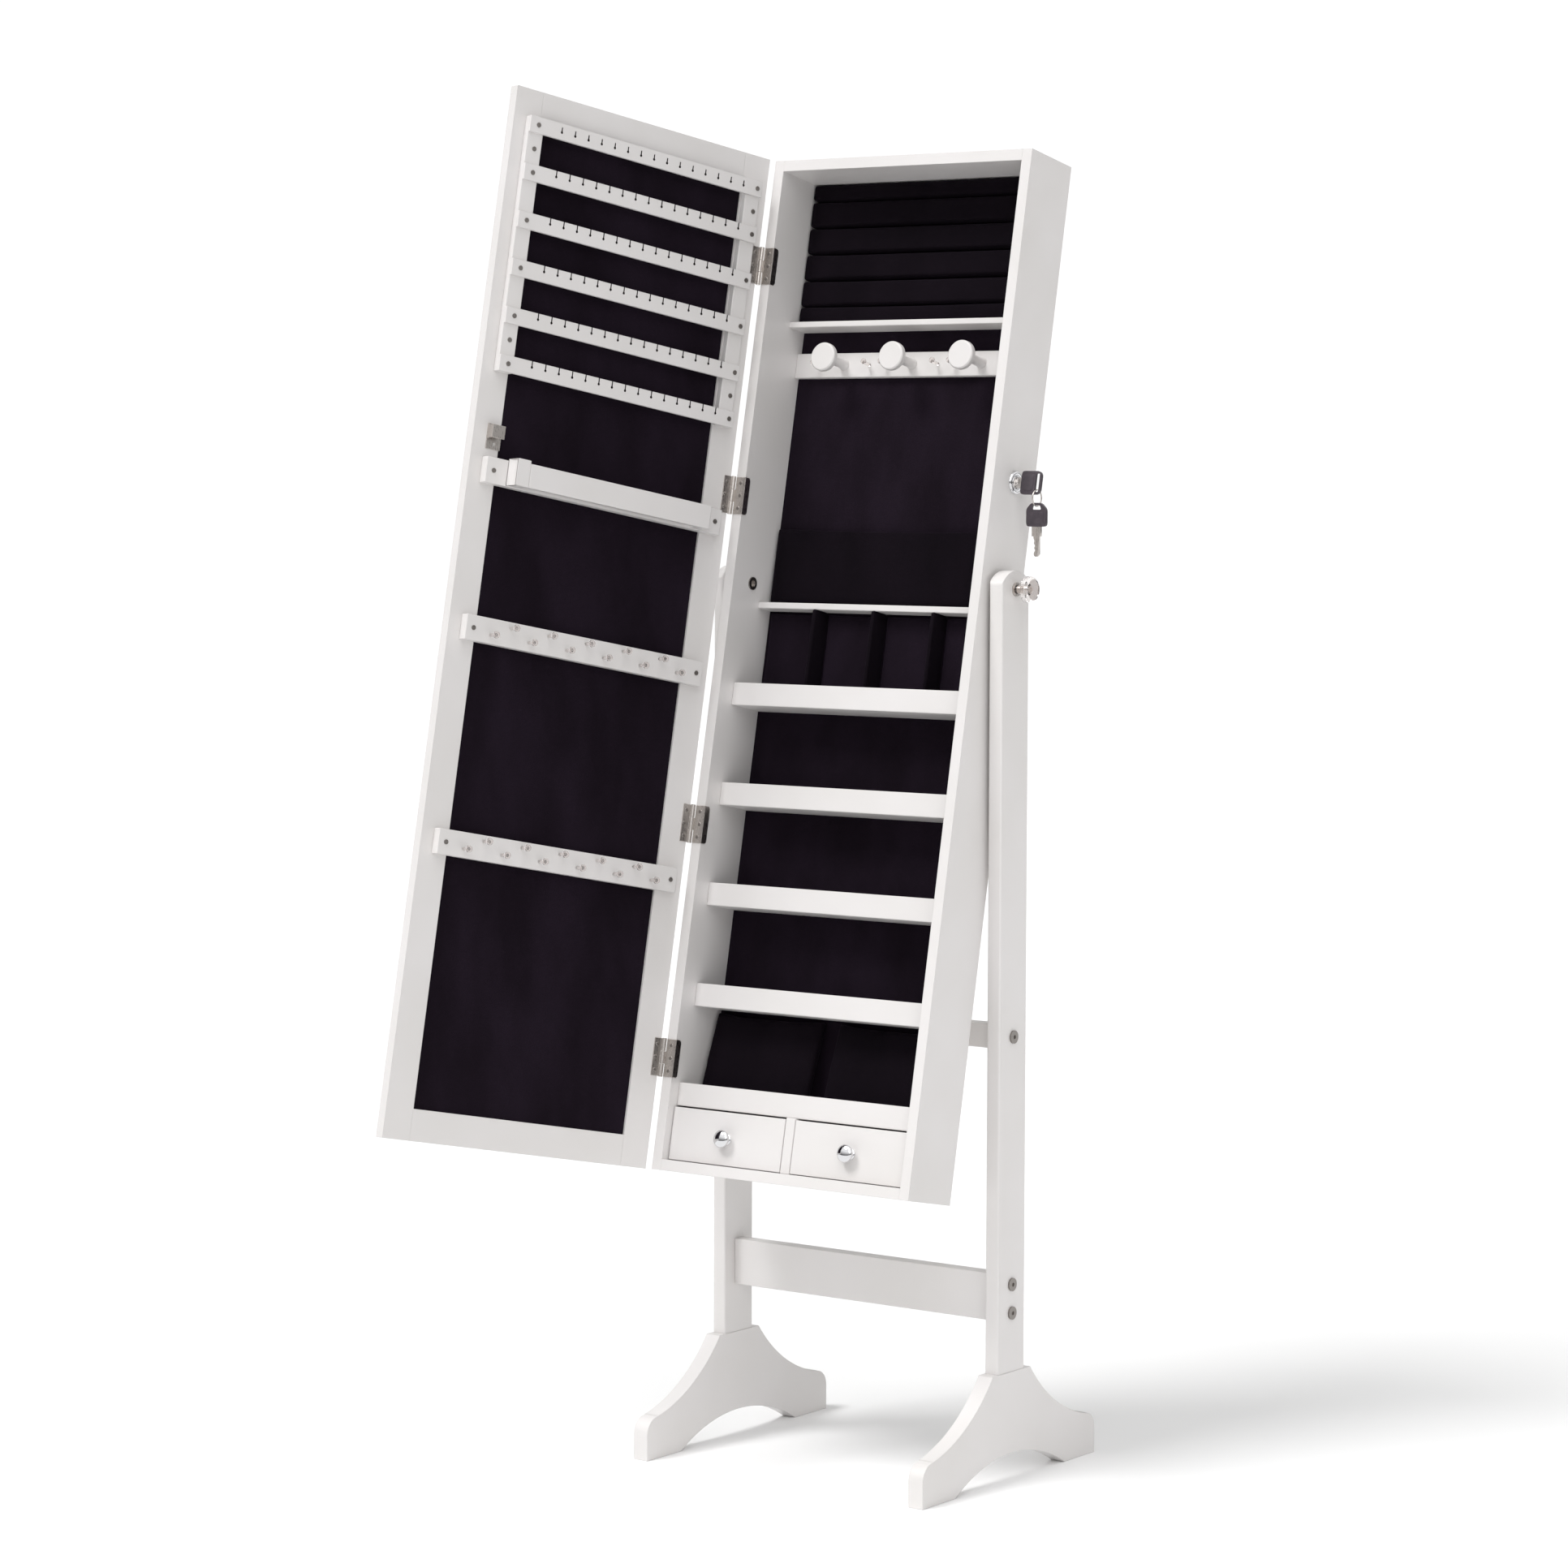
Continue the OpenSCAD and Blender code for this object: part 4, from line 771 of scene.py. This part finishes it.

# %% [markdown]
# ## Turned and moulded parts
# The drawer knobs are turned brass under chrome: a foot, a slim neck and a flattened ball. The
# outline is a few points, which spin sweeps round the axis, and the piece is shaded smooth.

# %% Drawer knobs
def turned(name, outline, steps=48):
    """A solid turned about Z from points (radius, height) in millimetres."""
    deselect()
    bpy.ops.mesh.primitive_circle_add(vertices=3, radius=1 * MM)
    piece = bpy.context.object
    piece.name = piece.data.name = name
    bpy.ops.object.mode_set(mode="EDIT")
    bpy.ops.mesh.select_all(action="SELECT")
    bpy.ops.mesh.delete(type="VERT")
    bpy.ops.object.mode_set(mode="OBJECT")
    piece.data.from_pydata([(radius * MM, 0, height * MM) for radius, height in outline],
                           [(k, k + 1) for k in range(len(outline) - 1)], [])
    bpy.ops.object.mode_set(mode="EDIT")
    bpy.ops.mesh.select_all(action="SELECT")
    bpy.ops.mesh.spin(steps=steps, angle=2 * math.pi, center=(0, 0, 0), axis=(0, 0, 1))
    bpy.ops.mesh.select_all(action="SELECT")
    bpy.ops.mesh.remove_doubles(threshold=0.005 * MM)
    bpy.ops.mesh.normals_make_consistent(inside=False)
    bpy.ops.object.mode_set(mode="OBJECT")
    return piece


def ball_points(radius, squash, middle, start, end, count):
    """Points of a flattened ball's outline, between two angles from its equator in degrees."""
    angles = [math.radians(start + (end - start) * k / (count - 1)) for k in range(count)]
    return [(radius * math.cos(a), middle + radius * squash * math.sin(a)) for a in angles]


KNOB_OUT, BALL = 15.5, 10.5
knob_outline = ([(0, 0), (7, 0), (7.2, 0.5), (7, 1.2), (5.6, 1.9), (4.4, 2.7), (3.9, 3.8), (4.0, 5.0)]
                + ball_points(BALL, 0.52, KNOB_OUT - BALL * 0.52, -66, 84, 22) + [(0, KNOB_OUT)])
FRONTS_SET_BACK, KNOB_DROP = 11.0, 0.5     # a knob sits a little under its front's middle
front_face = CABINET_FRONT + FRONTS_SET_BACK
front_height = DRAWER_OPENING - GAP_ABOVE - DRAWER_GAP
front_width = (2 * INSIDE - DIVIDER) / 2 - 2 * DRAWER_GAP
knob_height = FLOOR_INSIDE + DRAWER_GAP + front_height / 2 - KNOB_DROP
knob_across = DIVIDER / 2 + DRAWER_GAP + front_width / 2
knob = turned("knob", knob_outline)
to_front = Matrix.Rotation(math.pi / 2, 4, "X")
for side, sign in (("left", -1), ("right", 1)):
    twin = copy_of(knob, "turned_pull_" + side)
    spot = Matrix.Translation(Vector((sign * knob_across, front_face, knob_height)) * MM)
    put(twin, cabinet_place @ spot @ to_front, side + "_drawer", chrome, 50)
    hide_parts("drawer_pull_" + side)
bpy.data.objects.remove(knob)
print("knob stands off the middle by, mm:", round(knob_across, 1))

# %% [markdown]
# ### Keys
# A cabinet key is a flat steel blade with cuts along one edge and a milled groove along its sides,
# moulded into a plastic bow with a slot for the ring. Outlines are drawn as points whose corners
# are rounded, extruded as flat plates and bevelled; a thumb panel stands on both faces of the bow.
# A key is made lying along X with its bow's end at zero, and one is in the lock, one on the ring.

# %% Flat plates from outlines
BOW, BOW_THICK, BLADE_THICK = 27.0, 3.4, 2.2


def rounded(points, radius, steps=4):
    """The same outline with every corner turned into a short curve."""
    result = []
    for before, corner, after in zip(points[-1:] + points[:-1], points, points[1:] + points[:1]):
        before, corner, after = Vector(before), Vector(corner), Vector(after)
        start = corner + (before - corner).normalized() * min(radius, (before - corner).length * 0.49)
        end = corner + (after - corner).normalized() * min(radius, (after - corner).length * 0.49)
        for k in range(steps + 1):
            t = k / steps
            result.append(tuple((1 - t) ** 2 * start + 2 * t * (1 - t) * corner + t * t * end))
    return result


def both_edges(lower):
    """A closed outline from its lower half, which is mirrored to the upper one."""
    return lower + [(x, -z) for x, z in reversed(lower)]


def plate(name, outline, thick, holes=(), bevel=0.25, middle=0.0):
    """A flat bevelled plate in the XZ plane from outlines in millimetres, about Y = middle."""
    deselect()
    curve = bpy.data.curves.new(name, "CURVE")
    curve.dimensions, curve.fill_mode = "2D", "BOTH"
    for points in (outline, *holes):
        spline = curve.splines.new("POLY")
        spline.points.add(len(points) - 1)
        for point, (x, z) in zip(spline.points, points):
            point.co = (x * MM, z * MM, 0, 1)
        spline.use_cyclic_u = True
    curve.extrude = thick / 2 * MM
    flat = bpy.data.objects.new(name, curve)
    bpy.context.scene.collection.objects.link(flat)
    only(flat)
    bpy.ops.object.convert(target="MESH")
    piece = bpy.context.object
    piece.name = piece.data.name = name
    piece.rotation_euler = (math.pi / 2, 0, 0)
    piece.location.y = middle * MM
    bpy.ops.object.transform_apply(location=True, rotation=True, scale=True)
    bpy.ops.object.mode_set(mode="EDIT")
    bpy.ops.mesh.select_all(action="SELECT")
    bpy.ops.mesh.remove_doubles(threshold=0.01 * MM)
    bpy.ops.mesh.normals_make_consistent(inside=False)
    bpy.ops.object.mode_set(mode="OBJECT")
    finish_with(piece, "BEVEL", width=bevel * MM, segments=3, limit_method="ANGLE",
                angle_limit=math.radians(50))
    return piece


# %% A key
# each cut's place along the blade, as a share of it, and its depth
CUTS = ((0.10, 0.3), (0.22, 1.6), (0.34, 0.8), (0.45, 2.4), (0.58, 1.2), (0.68, 2.6), (0.82, 0.9))
COLLAR_HALF, BLADE_HALF, GROOVE_FACE = 6.2, 4, 0.65


def make_key(prefix, chamfer, slot_half, collar, blade):
    """A bow and its blade, lying along X; the slot may be long or short, and so may the blade."""
    half = BOW / 2
    outline = rounded(both_edges([(0, -half + 2.2), (2.2, -half), (BOW - chamfer, -half),
                                  (BOW, -half + chamfer)]), 3.2)
    slant = max(0.0, chamfer - 5.4)         # a slot under wide chamfers narrows towards the end
    slot = rounded(both_edges([(BOW - 7.7, -slot_half), (BOW - 2.7, -slot_half + slant)]), 1.5)
    bow_piece = plate(prefix + "_bow", outline, BOW_THICK, [slot], 0.8)
    panel = rounded(both_edges([(3.0, -half + 4), (BOW - 10.4, -half + 4)]), 3)
    panels = [plate(prefix + "_panel", panel, 0.7, (), 0.3, side * BOW_THICK / 2) for side in (-1, 1)]
    bow_piece = joined(prefix + "_bow", [bow_piece, *panels])
    cut_edge = [(-collar - share * blade, BLADE_HALF - depth) for share, depth in CUTS]
    tip = -collar - blade
    steel = [(1, COLLAR_HALF), (1, -COLLAR_HALF), (-collar, -COLLAR_HALF), (-collar, -BLADE_HALF),
             (tip + 2.5, -BLADE_HALF), (tip, -1.4), (tip, 1.8), (tip + 2, 3.2)]
    steel += list(reversed(cut_edge)) + [(-collar, 3.9), (-collar, COLLAR_HALF)]
    blade_piece = plate(prefix + "_blade", rounded(steel, 0.6, 2), BLADE_THICK, (), 0.2)
    for side in (-1, 1):
        near, far = sorted((side * GROOVE_FACE, side * 3))
        low, high = (-1.6, -0.2) if side < 0 else (-0.6, 0.8)
        groove = block("groove", (tip + 3, near, low), (-2, far, high))
        finish_with(blade_piece, "BOOLEAN", object=groove, operation="DIFFERENCE", solver="EXACT")
        bpy.data.objects.remove(groove)
    return bow_piece, blade_piece


def place_key(pieces, place, body, node):
    """Gives a key its finishes, puts it in its place and hides the exact part it stands for."""
    for piece, finish, slot in zip(pieces, (key_plastic, nickel), ("key_plastic", "satin_nickel")):
        put(piece, place, body, finish, 35)
        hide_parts(node)


CABINET_SIDE, LOCK_PLATE, KEY_GAP = 181.5, 2.0, 7.0
lock_spot = cabinet_place.inverted() @ Vector(joints["lock_turn"]["pos_m"])
lock_spot.x = CABINET_SIDE * MM
key_place = cabinet_place @ Matrix.Translation(lock_spot + Vector(((LOCK_PLATE + KEY_GAP) * MM, 0, 0)))
place_key(make_key("key", 3.5, 10.9, 6.5, 17), key_place, "lock_core", "key")

spare_low, spare_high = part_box("spare_key")
spare_middle = (spare_low + spare_high) / 2
spare_place = (Matrix.Translation((spare_middle.x, spare_middle.y, spare_high.z - BOW * MM))
               @ Matrix.Rotation(-math.pi / 2, 4, "Y"))
place_key(make_key("spare_key", 7.0, 6.6, 11, 23), spare_place, "hanging_key", "spare_key")
print("spare key, mm:", [round(x / MM, 1) for x in spare_high - spare_low])

# %% [markdown]
# ### The lock's rim
# The lock shows a polished rim that is domed like a washer, with a second ring round the plug.
# Both are one turned profile that stands on the exact part's flat plate.

# %% Lock rim
RIM = [(12.6, -0.1), (12.6, 0.25), (12.0, 0.8), (11.0, 1.15), (9.9, 1.0), (9.2, 0.35),
       (8.8, 0.3), (8.5, 0.9), (7.9, 1.1), (7.3, 0.9), (7.1, -0.1)]
rim = turned("lock_rim", RIM, 64)
rim_place = (cabinet_place @ Matrix.Translation(lock_spot + Vector((LOCK_PLATE * MM, 0, 0)))
             @ Matrix.Rotation(math.pi / 2, 4, "Y"))
put(rim, rim_place, "cabinet", chrome, 40)
print("lock rim, faces:", len(rim.data.polygons))

# %% [markdown]
# ### Screws
# Every leaf of a hinge is held by three small screws. One head is a low dome with a cross cut
# into it; the rest are copies.

# %% Screws of the hinges
def screw_head(name, diameter):
    """A low domed head that stands on the XY plane, with a cross slot."""
    radius = diameter / 2
    head = turned(name, [(0, -0.2), (radius, -0.2), (radius, 0.05), (radius * 0.93, 0.25),
                         (radius * 0.7, 0.42), (radius * 0.4, 0.5), (0, 0.52)], 20)
    for turn in (0, 1):
        arm, width = radius * 0.62, radius * 0.16
        low = (-arm, -width, 0.12) if turn else (-width, -arm, 0.12)
        slot = block("slot", low, (-low[0], -low[1], 2))
        finish_with(head, "BOOLEAN", object=slot, operation="DIFFERENCE", solver="EXACT")
        bpy.data.objects.remove(slot)
    return head


HINGES = [374.0, 98.0, -293.0, -568.0]      # the hinges' middles, up from the tilt axis
head = screw_head("hinge_screw", 4.6)
backwards = Matrix.Rotation(-math.pi / 2, 4, "X")
forwards = Matrix.Rotation(math.pi / 2, 4, "X")


def screws(name, spots_and_turns, place, body):
    """One object of many screw heads, each at its spot and turned by its own matrix."""
    heads = []
    for number, (spot, turn) in enumerate(spots_and_turns):
        one = copy_of(head, "screw_%d" % number)
        one.matrix_world = Matrix.Translation(Vector(spot) * MM) @ turn
        only(one)
        bpy.ops.object.transform_apply(location=True, rotation=True, scale=True)
        heads.append(one)
    result = put(joined(name, heads), place, body, screw_steel, 35)
    return result


DOOR_LEAF, CABINET_LEAF = -0.3, -38.7       # the leaves' faces along Y, in their own frames
DOOR_SPOTS = ((8.8, -15), (10.0, 0), (8.8, 15))
SIDE_SPOTS = ((-174, -15), (-173, 0), (-174, 15))
on_door = [((x, DOOR_LEAF, z + up), backwards) for z in HINGES for x, up in DOOR_SPOTS]
on_side = [((x, CABINET_LEAF, z + up), forwards) for z in HINGES for x, up in SIDE_SPOTS]
screws("hinge_screws_door", on_door, door_place, "door")
screws("hinge_screws_cabinet", on_side, cabinet_place, "cabinet")
bpy.data.objects.remove(head)
print("hinge screws:", len(on_door) + len(on_side))
